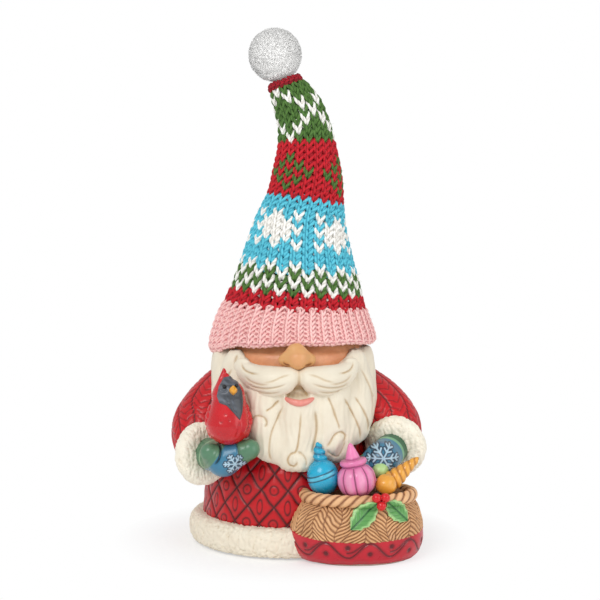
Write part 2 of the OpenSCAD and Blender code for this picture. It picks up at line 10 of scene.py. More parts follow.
import bpy
import numpy as np
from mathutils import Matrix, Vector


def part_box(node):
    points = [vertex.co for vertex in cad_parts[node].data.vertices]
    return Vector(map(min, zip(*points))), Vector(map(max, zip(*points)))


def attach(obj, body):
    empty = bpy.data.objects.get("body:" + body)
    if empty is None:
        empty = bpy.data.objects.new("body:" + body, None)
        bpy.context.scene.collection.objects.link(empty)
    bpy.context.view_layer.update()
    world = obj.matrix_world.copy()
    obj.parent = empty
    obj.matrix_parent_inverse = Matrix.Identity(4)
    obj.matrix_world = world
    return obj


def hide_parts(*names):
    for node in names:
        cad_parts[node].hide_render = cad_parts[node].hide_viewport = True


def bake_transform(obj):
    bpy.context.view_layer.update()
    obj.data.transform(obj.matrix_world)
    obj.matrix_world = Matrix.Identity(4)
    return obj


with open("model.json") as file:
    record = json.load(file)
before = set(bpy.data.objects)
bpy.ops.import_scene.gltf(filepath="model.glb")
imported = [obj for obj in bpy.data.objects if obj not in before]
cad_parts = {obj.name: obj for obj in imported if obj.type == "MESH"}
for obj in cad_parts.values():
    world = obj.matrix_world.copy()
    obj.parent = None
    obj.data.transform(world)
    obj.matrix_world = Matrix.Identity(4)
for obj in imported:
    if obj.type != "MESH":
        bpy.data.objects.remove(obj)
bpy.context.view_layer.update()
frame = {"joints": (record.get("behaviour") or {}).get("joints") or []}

import openvdb
from mathutils import Vector

MM = 0.001
TAU = 2 * math.pi
UP = np.array([0.0, 0.0, 1.0])


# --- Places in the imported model, in millimetres ---
def low(node):
    return np.array(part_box(node)[0]) / MM


def high(node):
    return np.array(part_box(node)[1]) / MM


def centre(node):
    return (low(node) + high(node)) / 2


JOINT = {j["name"]: j for j in frame["joints"]}
bend_at = np.array(JOINT["hat_tip_bend"]["pos_m"]) / MM
mouth_at = np.array(JOINT["pompom_swing"]["pos_m"]) / MM


# --- Small helpers for arrays of points ---
def unit(v):
    v = np.asarray(v, float)
    return v / np.maximum(np.linalg.norm(v, axis=-1, keepdims=True), 1e-9)


def smoothstep(low_end, high_end, x):
    t = np.clip((x - low_end) / (high_end - low_end), 0, 1)
    return t * t * (3 - 2 * t)


def ridge(t, wide):
    """1 on a line and falling to nothing over about that width; t is how far away the line is."""
    return np.exp(-((t / wide) ** 2))


def length_along(line):
    """How far along a line of points each one is."""
    return np.concatenate([[0], np.cumsum(np.linalg.norm(np.diff(line, axis=0), axis=1))])


def curve_through(points, steps):
    """A smooth curve through points, with steps points to each stretch (Catmull-Rom)."""
    p = np.asarray(points, float)
    p = np.vstack([2 * p[0] - p[1], p, 2 * p[-1] - p[-2]])
    t = np.linspace(0, 1, steps, endpoint=False)[:, None]
    out = []
    for a, b, c, d in zip(p[:-3], p[1:-2], p[2:-1], p[3:]):
        square, cube = 2 * a - 5 * b + 4 * c - d, 3 * b - a - 3 * c + d
        out.append(0.5 * (2 * b + (c - a) * t + square * t**2 + cube * t**3))
    return np.vstack(out + [p[-2:-1]])


def waves(p, size, seed, octaves=2):
    """Smooth made-up noise from -1 to 1 at points p: a few crossed sine waves of that size in mm."""
    r = np.random.default_rng(seed)
    total = np.zeros(p.shape[:-1])
    for octave in range(octaves):
        for _ in range(5):
            k = unit(r.normal(size=3)) * TAU / (size / 2**octave) * r.uniform(0.7, 1.3)
            total += np.sin(p @ k + r.uniform(0, TAU)) / 2**octave / 2.5
    return total


# --- Meshes ---
def add_mark(mesh, key, values):
    """Keeps a number or a colour at each point of a mesh, for its material to read."""
    kind, field = "FLOAT", "value"
    if np.ndim(values) == 2:
        kind, field = "FLOAT_COLOR", "color"
        values = np.hstack([values, np.ones((len(values), 1))])
    layer = mesh.attributes.new(key, kind, "POINT")
    layer.data.foreach_set(field, np.asarray(values, np.float32).ravel())


def make_piece(name, verts, faces, material, marks=None):
    """A Blender object from points in mm and arrays of faces, each of three or four corners a face.
    marks are numbers or colours at the points."""
    mesh = bpy.data.meshes.new(name)
    verts = np.asarray(verts, np.float32) * MM
    lists = [np.asarray(f, np.int32) for f in faces]
    sizes = np.concatenate([np.full(len(f), f.shape[1], np.int32) for f in lists])
    corners = np.concatenate([f.ravel() for f in lists])
    mesh.vertices.add(len(verts))
    mesh.vertices.foreach_set("co", verts.ravel())
    mesh.loops.add(len(corners))
    mesh.loops.foreach_set("vertex_index", corners)
    mesh.polygons.add(len(sizes))
    starts = np.concatenate([[0], np.cumsum(sizes)[:-1]]).astype(np.int32)
    mesh.polygons.foreach_set("loop_start", starts)
    mesh.polygons.foreach_set("use_smooth", np.full(len(sizes), True))
    mesh.update(calc_edges=True)
    for key, values in (marks or {}).items():
        add_mark(mesh, key, values)
    mesh.validate()
    mesh.materials.append(material)
    piece = bpy.data.objects.new(name, mesh)
    bpy.context.scene.collection.objects.link(piece)
    return piece


def on_figure(piece, node):
    """A piece that stands for a node of the figure itself, which it hides."""
    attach(piece, "figure")
    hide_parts(node)
    return piece


def grid_faces(rows, columns, wrap=True, closed=False, flip=False):
    """Quads over rows of points. wrap joins the two ends of each row, and closed the last row and the
    first."""
    i = np.arange(rows if closed else rows - 1)[:, None]
    k = np.arange(columns if wrap else columns - 1)[None]
    i2, k2 = (i + 1) % rows, (k + 1) % columns
    here, there = i * columns, i2 * columns
    quads = np.stack([here + k, here + k2, there + k2, there + k], -1).reshape(-1, 4)
    return quads[:, ::-1] if flip else quads


def tube_faces(n, m, sides):
    """Faces of n closed tubes with m rings each. The middles of their ends come after all the rings."""
    first = (np.arange(n) * m * sides)[:, None, None]
    ring = np.arange(m - 1)[None, :, None] * sides
    k = np.arange(sides)
    k2 = (k + 1) % sides
    a, b = first + ring + k, first + ring + k2
    quads = np.stack([a, b, b + sides, a + sides], -1).reshape(-1, 4)
    foot = first[:, 0]
    top = foot + (m - 1) * sides
    hub = n * m * sides + np.arange(n)[:, None] + 0 * k
    ends = [np.stack([hub, foot + k2, foot + k], -1), np.stack([hub + n, top + k, top + k2], -1)]
    return [quads, np.vstack([end.reshape(-1, 3) for end in ends])]


def tubes(paths, radii, outward, sides=8, ply=0.0, turns_per_mm=0.0):
    """Closed tubes along paths (strands, points, 3). outward is a direction that each ring starts from.
    ply is how deep the yarn's two plies are grooved, as a share of the radius."""
    paths = np.asarray(paths, float)
    n, m = paths.shape[:2]
    along = unit(np.gradient(paths, axis=1))
    side = unit(np.cross(along, outward))
    lift = np.cross(side, along)
    steps = np.linalg.norm(np.diff(paths, axis=1), axis=2)
    length = np.concatenate([np.zeros((n, 1)), np.cumsum(steps, axis=1)], axis=1)
    a = np.arange(sides) * TAU / sides
    groove = np.cos(2 * a[None, None] - TAU * turns_per_mm * length[..., None])
    r = np.broadcast_to(radii, (n, m))[..., None] * (1 + ply * groove)
    rings = paths[:, :, None] + (r * np.cos(a))[..., None] * lift[:, :, None]
    rings = rings + (r * np.sin(a))[..., None] * side[:, :, None]
    verts = np.vstack([rings.reshape(-1, 3), paths[:, 0], paths[:, -1]])
    depth = np.concatenate([(0.5 - 0.5 * groove).ravel(), np.full(2 * n, 0.5)])
    return verts, tube_faces(n, m, sides), depth


# --- Materials ---
def linear(colour):
    """A colour given as sRGB from 0 to 255, in the shader's own linear scale."""
    c = np.asarray(colour, float) / 255
    return tuple(np.where(c <= 0.04045, c / 12.92, ((c + 0.055) / 1.055) ** 2.4)) + (1.0,)


class Finish:
    """A node material, built up from its surface shader."""

    def __init__(self, name, roughness=0.5, **sockets):
        self.material = bpy.data.materials.new(name)
        self.material.use_nodes = True
        self.tree = self.material.node_tree
        self.tree.nodes.clear()
        self.out = self.tree.nodes.new("ShaderNodeOutputMaterial")
        self.surface = self.node("ShaderNodeBsdfPrincipled", Roughness=roughness, **sockets)
        self.link(self.surface.outputs[0], self.out.inputs["Surface"])

    def node(self, kind, **values):
        made = self.tree.nodes.new(kind)
        for key, value in values.items():
            label = key.replace("_", " ")
            if label in made.inputs:
                self.put(made.inputs[label], value)
            else:
                setattr(made, key, value)
        return made

    def put(self, socket, value):
        if isinstance(value, bpy.types.NodeSocket):
            self.tree.links.new(value, socket)
        else:
            socket.default_value = value

    def link(self, a, b):
        self.tree.links.new(a, b)

    def mark(self, name):
        return self.node("ShaderNodeAttribute", attribute_name=name).outputs["Fac"]

    def mark_colour(self, name):
        return self.node("ShaderNodeAttribute", attribute_name=name).outputs["Color"]

    def place(self):
        return self.node("ShaderNodeTexCoord").outputs["Object"]

    def noise(self, size, detail, rough=0.55, stretch=(1, 1, 1)):
        """Noise with features of about that size in mm, from 0 to 1."""
        scaled = self.node("ShaderNodeMapping", Vector=self.place(), Scale=stretch).outputs[0]
        values = dict(Scale=1 / (size * MM), Detail=detail, Roughness=rough)
        return self.node("ShaderNodeTexNoise", Vector=scaled, **values).outputs["Fac"]

    def spread(self, value, low_end, high_end, to_low=0.0, to_high=1.0):
        """A value's stretch from low_end to high_end, laid out from to_low to to_high."""
        ends = dict(From_Min=low_end, From_Max=high_end, To_Min=to_low, To_Max=to_high)
        return self.node("ShaderNodeMapRange", Value=value, **ends).outputs["Result"]

    def maths(self, operation, a, b):
        made = self.node("ShaderNodeMath", operation=operation)
        self.put(made.inputs[0], a)
        self.put(made.inputs[1], b)
        return made.outputs[0]

    def mix(self, share, a, b):
        made = self.node("ShaderNodeMix", data_type="RGBA")
        for socket, value in ((0, share), (6, a), (7, b)):
            self.put(made.inputs[socket], value)
        return made.outputs[2]

    def colour(self, value):
        self.put(self.surface.inputs["Base Color"], value)

    def two_tone(self, share, one, other):
        """A base colour between two colours."""
        self.colour(self.mix(share, linear(one), linear(other)))

    def rough(self, value):
        self.put(self.surface.inputs["Roughness"], value)

    def bump(self, height, depth, strength):
        """Relief of that depth in mm."""
        made = self.node("ShaderNodeBump", Height=height, Distance=depth * MM, Strength=strength)
        self.link(made.outputs[0], self.surface.inputs["Normal"])


# --- The hat's own surface ---
# Rings up the hat: centre x, height, radius, and how far the ring tips over to the gnome's left, in degrees.
brim_foot = low("hat_brim")[2]
brim_top = high("hat_brim")[2]
HAT_RINGS = [
    [0.0, brim_foot, 38.4, 0],
    [0.1, brim_foot + 4, 38.3, 1],
    [0.4, brim_foot + 11, 36.1, 2],
    [1.3, brim_top, 33.0, 3],
    [2.7, brim_top + 13, 28.6, 5],
    [3.3, brim_top + 26, 24.7, 7],
    [4.3, brim_top + 39, 21.0, 8.5],
    [6.3, brim_top + 50, 17.8, 8],
    [7.2, bend_at[2], 15.9, 5],
    [7.0, bend_at[2] + 12, 13.4, 0],
    [5.6, bend_at[2] + 22, 11.9, -6],
    [2.7, bend_at[2] + 31, 10.9, -13],
    [-0.6, bend_at[2] + 37.5, 9.3, -18],
    [-3.0, mouth_at[2] - 2.3, 7.3, -20],
]


def tipped(x, z, tip, u, v, lift):
    """Points at u across, v back and lift up from (x, 0, z), on a ring tipped by that angle."""
    across = x + u * np.cos(tip) + lift * np.sin(tip)
    return np.stack([across, v + 0 * u, z - u * np.sin(tip) + lift * np.cos(tip)], -1)


class HatSurface:
    """Points on the hat by distance up it, angle round it from the front, and height off the cloth."""

    def __init__(self, rings):
        self.rings = curve_through(rings, 12)
        self.up = length_along(self.rings[:, :2])
        self.long = self.up[-1]

    def ring(self, up):
        """Centre x, height, radius and tip of the ring at that distance up."""
        return [np.interp(up, self.up, self.rings[:, k]) for k in range(4)]

    def up_at(self, height):
        return np.interp(height, self.rings[:, 1], self.up)

    def at(self, up, angle, off):
        x, z, r, tip = self.ring(up)
        over = np.maximum(0, up - self.long) - np.maximum(0, -up)
        tip = np.radians(tip)
        slope = np.gradient(self.rings[:, 2], self.up)
        tan = np.interp(up, self.up, slope)
        rise = off * -tan / np.hypot(1, tan)
        reach = r + off / np.hypot(1, tan)
        u, v = reach * np.sin(angle), -reach * np.cos(angle)
        return tipped(x, z, tip, u, v, rise + over)

    def out(self, angle, up):
        tip = np.radians(self.ring(up)[3])
        return np.stack([np.sin(angle) * np.cos(tip), -np.cos(angle), -np.sin(angle) * np.sin(tip)], -1)


hat = HatSurface(HAT_RINGS)
foot_up, brim_up = hat.up_at(brim_foot), hat.up_at(brim_top)

# Stitches round the hat, and how far they turn from the front, by height.
STITCH_COUNT = [
    [brim_top, 31], [brim_top + 16, 28.6], [brim_top + 30, 28], [brim_top + 43, 24], [brim_top + 53, 21.8],
    [bend_at[2], 21], [bend_at[2] + 13, 19], [bend_at[2] + 24, 16], [bend_at[2] + 33, 14],
    [mouth_at[2], 12.5],
]
STITCH_TURN = [[brim_top, 0.44], [brim_top + 43, 0.4], [bend_at[2], 0.83], [mouth_at[2] - 14, 1.2]]


def looked_up(table, x):
    table = np.asarray(table, float)
    return np.interp(x, table[:, 0], table[:, 1])


# --- The pattern: rows from the brim up, each a yarn for every stitch ---
def every_other(odd):
    return lambda c: "white" if (c + odd) % 2 == 0 else "green"


def from_motif(c):
    """Stitches away from the middle of the motif, which comes every six stitches."""
    return abs((c + 6) % 6 - 3)


def motif_row(ground, figure, places):
    return lambda c: figure if from_motif(c) in places else ground


def lattice_row(away):
    """A row of the white lattice on green; away is how many stitches it is from where the lines cross."""
    return lambda c: "white" if abs((c + 3) % 6 - 3) == away else "green"


def plain(yarn):
    return lambda c: yarn


PATTERN = (
    [plain("red")] * 2
    + [every_other(0), every_other(1), every_other(0)]
    + [lambda c: "white" if c % 2 else "blue"]
    + [plain("blue")] * 2
    + [motif_row("blue", "white", p) for p in ((0, 2), (0, 1), (0, 1, 2), (0, 1), (0, 2))]
    + [plain("blue")] * 2
    + [plain("red")]
    + [motif_row("red", "green", p) for p in ((0,), (1,), (0, 2), (1,), (0,))]
    + [plain("red")] * 2
    + [lattice_row(abs(k)) for k in range(-3, 4)]
)
# Where bands of rows end: the number of rows up to there, and the height.
BAND_TOPS = [
    (2, brim_top + 6.3), (5, brim_top + 17.0), (15, bend_at[2] - 12.5), (23, bend_at[2] + 14.5),
    (30, mouth_at[2] - 2.7),
]


def row_heights():
    """The distance up the hat of every row's middle, and each row's height."""
    edges = [brim_up]
    first = 0
    for last, top in BAND_TOPS:
        edges += list(np.linspace(edges[-1], hat.up_at(top), last - first + 1)[1:])
        first = last
    edges = np.array(edges)
    return (edges[1:] + edges[:-1]) / 2, np.diff(edges)


# Half a loop of yarn from its head down to its foot: across in stitches, up and in front in half loops.
HALF_LOOP = [
    [0.0, 1.0, -1.0], [0.2, 0.94, -0.8], [0.36, 0.64, 0.0], [0.33, 0.32, 0.8],
    [0.2, -0.12, 1.0], [0.1, -0.5, 0.5], [0.2, -0.86, -0.6], [0.5, -1.0, -1.0],
]


def knitted_loops(across, up, tall, face, depth, seed, jitter=0.05):
    """Paths of loops, each with its place across the row in stitches and up the hat, its height, and
    which way it faces."""
    half = curve_through(HALF_LOOP, 3)
    path = np.vstack([half[:0:-1] * [-1, 1, 1], half])
    wobble = np.random.default_rng(seed).normal(0, jitter, (len(across), 3))
    u = across[:, None] + path[None, :, 0] * (1 + wobble[:, :1])
    v = up[:, None] + tall[:, None] * (0.9 * path[None, :, 1] + wobble[:, 1:2])
    off = face[:, None] * depth * path[None, :, 2] + 0.5 * wobble[:, 2:]
    return u, v, off


YARN_R = 0.88
YARN_LAY = dict(sides=12, ply=0.15, turns_per_mm=0.3)
YARNS = {}
FUZZ = {}


def curling(start, way, bend, long):
    """Lines of four points that set off one way and bend another."""
    t = np.linspace(0, 1, 4)[None, :, None]
    return start[:, None] + (way[:, None] * t + bend[:, None] * t**2) * long


def keep_fuzz(colour, paths, out, radius, share=0.9):
    """Loose fibres that stand out of the yarn along some paths."""
    r = np.random.default_rng(len(colour) + len(paths))
    n, m = paths.shape[:2]
    count = int(n * share)
    k, i = r.integers(0, n, count), r.integers(2, m - 2, count)
    along = unit(paths[k, i + 1] - paths[k, i - 1])
    lift = unit(out[k, i] + 0.7 * r.normal(size=(count, 3)))
    start = paths[k, i] + lift * (0.8 * radius[k, i])[:, None]
    way = unit(0.7 * lift + along * r.normal(0, 0.8, (count, 1)) + 0.3 * r.normal(size=(count, 3)))
    long = r.uniform(0.6, 1.7, count)[:, None, None]
    bend = 0.5 * r.normal(size=(count, 3))
    FUZZ.setdefault(colour, []).append((curling(start, way, bend, long), out[k, i]))


def keep_yarn(colour, verts, faces, marks):
    YARNS.setdefault(colour, []).append((verts, faces, marks))


def joined(parts):
    """One set of points, faces and marks from several."""
    verts, faces, marks = zip(*parts)
    first = np.cumsum([0] + [len(v) for v in verts])
    kinds = [np.vstack([f + n for f, n in zip(kind, first)]) for kind in zip(*faces)]
    return np.vstack(verts), kinds, np.concatenate(marks)


def knit_bands():
    """The patterned knitting from the brim to the tip, gathered by yarn. Each row's stitches are eased
    towards the back, so that its two ends meet in the seam there."""
    middles, talls = row_heights()
    stitches = {}
    for row, (up, tall) in enumerate(zip(middles, talls)):
        z = hat.ring(up)[1]
        half, turn = looked_up(STITCH_COUNT, z) / 2, looked_up(STITCH_TURN, z)
        columns = [c for c in range(-20, 21) if abs(c + turn) <= half]
        left, right = half - (0.5 - columns[0] - turn), half - (columns[-1] + turn + 0.5)
        for c in columns:
            place = c + turn
            eased = right * smoothstep(half / 3, half, place) - left * smoothstep(-half / 3, -half, place)
            stitches.setdefault(PATTERN[row](c), []).append([c + eased, up, tall])
    for colour, rows in stitches.items():
        rows = np.array(rows)
        u, v, off = knitted_loops(rows[:, 0], rows[:, 1], rows[:, 2], np.ones(len(rows)), 0.75, seed=3)
        z = hat.ring(v)[1]
        angle = TAU * (u + looked_up(STITCH_TURN, z)) / looked_up(STITCH_COUNT, z)
        paths = hat.at(v, angle, off - 0.9)
        radius = YARN_R * looked_up([[brim_top, 1.04], [mouth_at[2], 0.9]], z)
        keep_yarn(colour, *tubes(paths, radius, hat.out(angle, v), **YARN_LAY))
        keep_fuzz(colour, paths, hat.out(angle, v), radius)


RIBS = 42


def knit_brim():
    """The ribbed brim, with one knit and one purl column in turn."""
    rows = 7
    edges = np.linspace(foot_up + 1.2, brim_up - 0.2, rows + 1)
    middles, talls = (edges[1:] + edges[:-1]) / 2, np.diff(edges)
    c = np.arange(2 * RIBS)
    across, up = (a.ravel() for a in np.meshgrid(c, middles))
    tall = np.repeat(talls, 2 * RIBS)
    face = np.where(across % 2 == 0, 1.0, -1.0)
    u, v, off = knitted_loops(across, up, tall * 1.04, face, 0.7, seed=5, jitter=0.04)
    angle = TAU * (u + 0.3) / (2 * RIBS)
    rib = np.cos(TAU * (u / 2))
    paths = settled(hat.at(v, angle, off - 0.6 + 0.6 * rib), v)
    out = hat.out(angle, v)
    keep_fuzz("pink", paths, out, np.full(paths.shape[:2], 0.7), 1.6)
    keep_yarn("pink", *tubes(paths, 0.68, out, **YARN_LAY))
    keep_yarn("pink", *cast_on_edge())


def settled(points, v):
    """The brim's foot sits higher over the nose and a little lower on the gnome's right."""
    loose = 1 - smoothstep(foot_up, brim_up, v)
    x, y = points[..., 0] / 38, points[..., 1] / 38
    droop = 1.5 * smoothstep(0.78, 1.0, -x)
    over_hair = 1.3 * ridge(x + 0.68, 0.17) * np.clip(-2 * y, 0, 1)
    lift = 1.2 * x + 2.6 * np.clip(-y, 0, 1) ** 2 + over_hair - droop + 0.3 * np.sin(7 * x + 4 * y)
    return points + UP * (loose * lift)[..., None]


def cast_on_edge():
    """The first row of the knitting, which closes the brim's foot: a cord of short slanted loops."""
    n, m = 84, 11
    t = np.linspace(-0.62, 0.62, m)
    angle = TAU * (np.arange(n)[:, None] + t[None]) / n
    v = foot_up + 1.3 + 0.75 * np.sin(t * math.pi / 1.24)[None] + 0 * angle
    off = -0.35 + 0.55 * np.cos(t * math.pi / 1.24)[None] + 0 * angle
    paths = settled(hat.at(v, angle, off), v)
    return tubes(paths, 0.78, hat.out(angle, v), **YARN_LAY)


def lighter(colour, times, plus):
    return linear(np.clip(np.array(colour) * times + plus, 0, 255))


ALONG_YARN = (1, 1, 0.4)


def yarn_finish(name, colour, deep):
    """Fluffy acrylic yarn: painted shade between its plies, darker random fibres, and a soft sheen of loose
    fibre.
    """
    sheen = dict(Sheen_Weight=0.18, Sheen_Roughness=0.5, Sheen_Tint=lighter(colour, 1.1, 20))
    f = Finish(name, roughness=0.9, **sheen)
    groove = f.mark("depth")
    patch = f.spread(f.noise(5, 2), 0.3, 0.7)
    light = f.mix(patch, linear(colour), lighter(colour, 1.05, 4))
    fibres = f.spread(f.noise(0.35, 4, 0.7, ALONG_YARN), 0.35, 0.75)
    # Painted shade in the grooves between the plies.
    furrow = f.maths("MULTIPLY", f.spread(groove, 0.4, 1.0), 0.6)
    shade = f.maths("ADD", furrow, f.maths("MULTIPLY", fibres, 0.25))
    f.colour(f.mix(shade, light, linear(deep)))
    f.bump(f.noise(0.3, 3, 0.7, ALONG_YARN), 0.12, 0.7)
    return f.material


# Each yarn's colour, and the darker colour that it is mixed toward in its ply grooves (painted shade) and in
# random fibres.
YARN_COLOURS = {
    "red": [(196, 20, 36), (96, 2, 14)],
    "green": [(78, 116, 50), (28, 54, 16)],
    "blue": [(92, 196, 216), (30, 116, 142)],
    "white": [(244, 242, 236), (190, 184, 174)],
    "pink": [(247, 200, 195), (184, 74, 90)],
    # The tip's gathered edge: a darker copy of the red yarn, as painted shade.
    "crimson": [(158, 10, 30), (70, 0, 12)],
}
# Darker copies of each band's yarn colour for the back of the knitting: the yarn there is real, its darkness
# is painted shade behind the stitches.
BAND_BACK_IN_SHADE = {"red": (84, 6, 16), "green": (32, 50, 20), "blue": (30, 92, 116), "pink": (150, 54, 68)}


def lining_finish():
    f = Finish("hat_back_knit_shaded", roughness=0.95)
    patch = f.spread(f.noise(0.9, 3), 0.3, 0.7, 0.0, 0.5)
    # Dark patches over the back of the knitting: painted shade.
    f.colour(f.mix(patch, f.mark_colour("band"), linear((24, 14, 14))))
    f.bump(f.noise(0.8, 3), 0.3, 0.8)
    return f.material


def hat_lining():
    """The back of the knitting, which shows between its stitches, painted darker as shade."""
    rows, columns = 110, 120
    ups = np.linspace(foot_up + 0.8, hat.long - 0.5, rows)
    up, angle = np.meshgrid(ups, np.linspace(0, TAU, columns, endpoint=False), indexing="ij")
    points = settled(hat.at(up, angle, -2.1 + 0.25 * np.sin(angle * 31)), up)
    heights = hat.ring(up)[1]
    edges = [brim_top - 0.5, brim_top + 6.3, brim_top + 17, bend_at[2] - 12.5, bend_at[2] + 14.5]
    names = ["pink", "red", "green", "blue", "red", "green"]
    band = np.searchsorted(edges, heights.ravel())
    marks = {"band": np.array([linear(BAND_BACK_IN_SHADE[n])[:3] for n in names])[band]}
    quads = grid_faces(rows, columns)
    return make_piece("hat_lining", points.reshape(-1, 3), [quads], lining_finish(), marks)


def mouth_ring(angle, radius, rise):
    """Points round the hat's open tip: rise is along the tip's own axis."""
    x, z, _, degrees = HAT_RINGS[-1]
    return tipped(x, z, np.radians(degrees), radius * np.sin(angle), -radius * np.cos(angle), rise)


# Rows of the gathered edge: loops round it, radius, height, and how far the loops lean.
EDGE_ROWS = ((20, 7.6, 0.0, 0.7), (18, 7.2, 1.4, -0.7))


def hat_tip_edge():
    """The gathered red edge: rows of short loops bound round the mouth."""
    rows = []
    t = np.linspace(-0.5, 0.5, 13)
    for n, wide, up, lean in EDGE_ROWS:
        a = TAU * (np.arange(n)[:, None] + 1.1 * t[None]) / n
        r = wide + 0.4 * np.cos(TAU * t)[None] + 0.2 * np.sin(3 * a)
        rise = up + lean * np.sin(math.pi * t)[None] + 0.2 * np.sin(5 * a)
        paths = mouth_ring(a, r, rise)
        out = unit(paths - mouth_ring(a, 0 * r, rise * 0 + 0.5))
        rows.append(tubes(paths, 0.78, out, **YARN_LAY))
    return rows


def ball_points(count):
    """Directions spread evenly over a ball."""
    k = np.arange(count) + 0.5
    z = 1 - 2 * k / count
    a = k * math.pi * (1 + 5**0.5)
    flat = np.sqrt(1 - z * z)
    return np.stack([flat * np.cos(a), flat * np.sin(a), z], -1)


def fluff_finish():
    f = Finish("pompom_fluff_white", roughness=0.95, Specular_IOR_Level=0.1)
    f.two_tone(f.spread(f.noise(1.2, 3), 0.3, 0.7), (255, 255, 254), (251, 250, 248))
    f.bump(f.noise(0.5, 4, 0.7), 0.15, 0.5)
    return f.material


# How low the pom-pom's fluff comes at each distance from its axis, from the point that it swings about:
# its neck goes down into the mouth, and round that it lies on the hat's edge.
NECK_R = 5.3
FLUFF_FOOT = [[0, -3.6], [4.0, -3.0], [5.0, -1.5], [5.3, 0.7], [7.8, 1.0], [13, 1.0]]
TIP_LEAN = math.radians(HAT_RINGS[-1][3])
TIP_AXIS = np.array([math.sin(TIP_LEAN), 0, math.cos(TIP_LEAN)])


def from_swing(p):
    """How far points are along the tip's axis from where the pom-pom swings, and how far from that axis."""
    rel = p - mouth_at
    h = rel @ TIP_AXIS
    return h, np.linalg.norm(rel - h[..., None] * TIP_AXIS, axis=-1)


def lowest(flat):
    return np.interp(flat, *np.array(FLUFF_FOOT).T)


def face_out(piece, out):
    """Shades a piece of fine fibres as if its skin faced the given way at each point."""
    piece.data.normals_split_custom_set_from_vertices([tuple(v) for v in out])


def fibres(name, lines, radii, out, material):
    """Fine fibres along lines (fibres, points, 3), shaded softly as the surface that they stand on."""
    lines = np.asarray(lines)
    sideways = unit(np.cross(lines[:, -1] - lines[:, 0], out) + 1e-6)
    verts, faces, _ = tubes(lines, radii, np.repeat(sideways[:, None], lines.shape[1], 1), sides=3)
    piece = make_piece(name, verts, faces, material)
    face_out(piece, np.vstack([np.repeat(out, lines.shape[1] * 3, axis=0), out, out]))
    return piece


POMPOM_R = (high("pompom")[1] - low("pompom")[1]) / 2
POMPOM_AT = np.array([low("pompom")[0] + POMPOM_R, 0, high("pompom")[2] - POMPOM_R])
TUFTS = 10500


def pompom_skin(d):
    """Points on the soft core in the directions d from its middle."""
    lumps = 0.2 * waves(d * POMPOM_R, 4, 11) + 0.12 * waves(d * POMPOM_R, 1.6, 12)
    points = POMPOM_AT + d * (0.945 * POMPOM_R + lumps)[..., None]
    h, flat = from_swing(points)
    foot = np.where(flat < NECK_R, lowest(flat), np.maximum(h, lowest(flat)))
    return points + TIP_AXIS * np.where(d @ TIP_AXIS < 0, foot - h, 0)[..., None]


def pompom_core():
    rows, columns = 96, 160
    polar = np.linspace(0.01, math.pi - 0.01, rows)
    polar, round_it = np.meshgrid(polar, np.linspace(0, TAU, columns, endpoint=False), indexing="ij")
    flat = np.sin(polar)
    way = np.stack([flat * np.cos(round_it), flat * np.sin(round_it), np.cos(polar)], -1)
    quads = grid_faces(rows, columns, flip=True)
    ball = make_piece("pompom_core", pompom_skin(way).reshape(-1, 3), [quads], fluff_finish())
    face_out(ball, unit(way.reshape(-1, 3) + 0.5 * UP))
    return ball


def pompom_pile(material):
    """Fine tufts all over the core, none past the ball's radius or under its foot."""
    rnd = np.random.default_rng(21)
    d = ball_points(TUFTS)
    lean = unit(d + rnd.normal(0, 0.45, (TUFTS, 3)))
    long = rnd.uniform(0.5, 1.25, TUFTS)[:, None, None]
    curl = rnd.normal(0, 0.25, (TUFTS, 3))
    lines = curling(pompom_skin(d) - 0.15 * d, lean, curl, long)
    far = np.linalg.norm(lines - POMPOM_AT, axis=2)
    lines = POMPOM_AT + (lines - POMPOM_AT) * np.minimum(1, (POMPOM_R + 0.15) / far)[..., None]
    h, flat = from_swing(lines)
    kept = ((h > lowest(flat) + 0.1) | (flat < NECK_R)).all(axis=1)
    thick = 0.15 * np.array([1.0, 0.9, 0.65, 0.15])[None]
    return fibres("pompom_pile", lines[kept], thick, unit(d[kept] + 0.5 * UP), material)


def pompom():
    """A dense ball of short pile: a soft core, and thousands of fine tufts."""
    ball = pompom_core()
    pile = pompom_pile(ball.data.materials[0])
    for piece in (ball, pile):
        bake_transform(piece)
    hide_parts("pompom")


# The crown of the head: how far out, and its height.
CROWN = [[0, 130.5], [8.7, 129.7], [18.6, 125.2], [25.4, 118.3], [29.1, 111.0], [33, 92.5]]


def stuffing_finish():
    f = Finish("fiberfill_white", roughness=0.95, Sheen_Weight=0.4)
    f.two_tone(f.spread(f.noise(2.5, 4), 0.35, 0.7), (240, 238, 233), (214, 210, 204))
    f.bump(f.noise(0.9, 4, 0.7), 0.5, 0.8)
    return f.material


def hat_filling():
    """The fibre that fills the hat over the crown, as one soft wad."""
    columns = 72
    ups = np.linspace(hat.up_at(low("hat_stuffing")[2] + 1.5), hat.long - 2.0, 60)
    angles = np.linspace(0, TAU, columns, endpoint=False)
    up, angle = np.meshgrid(ups, angles, indexing="ij")
    side = hat.at(up, angle, -3.3)
    side = side - 0.5 * np.abs(waves(side, 6, 31))[..., None] * hat.out(angle, up)
    foot = side[0]
    spokes = np.linspace(1, 0, 12)[1:, None, None]
    hub = np.array([foot[:, 0].mean(), 0, 0])
    flat = foot[None] * spokes + hub * (1 - spokes)
    reach = np.linalg.norm(flat[..., :2], axis=-1)
    lift = np.interp(reach, *np.array(CROWN).T) + 1.6
    flat[..., 2] = np.maximum(np.where(reach < 28, lift, foot[:, 2].mean()), 0)
    top = side[-1][None] * spokes[:5] + side[-1].mean(axis=0) * (1 - spokes[:5])
    rings = np.concatenate([flat[::-1], side, top])
    quads = grid_faces(len(rings), columns)
    wad = make_piece("hat_wad", rings.reshape(-1, 3), [quads], stuffing_finish())
    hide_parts("hat_stuffing", "hat_tip_stuffing")
    return wad


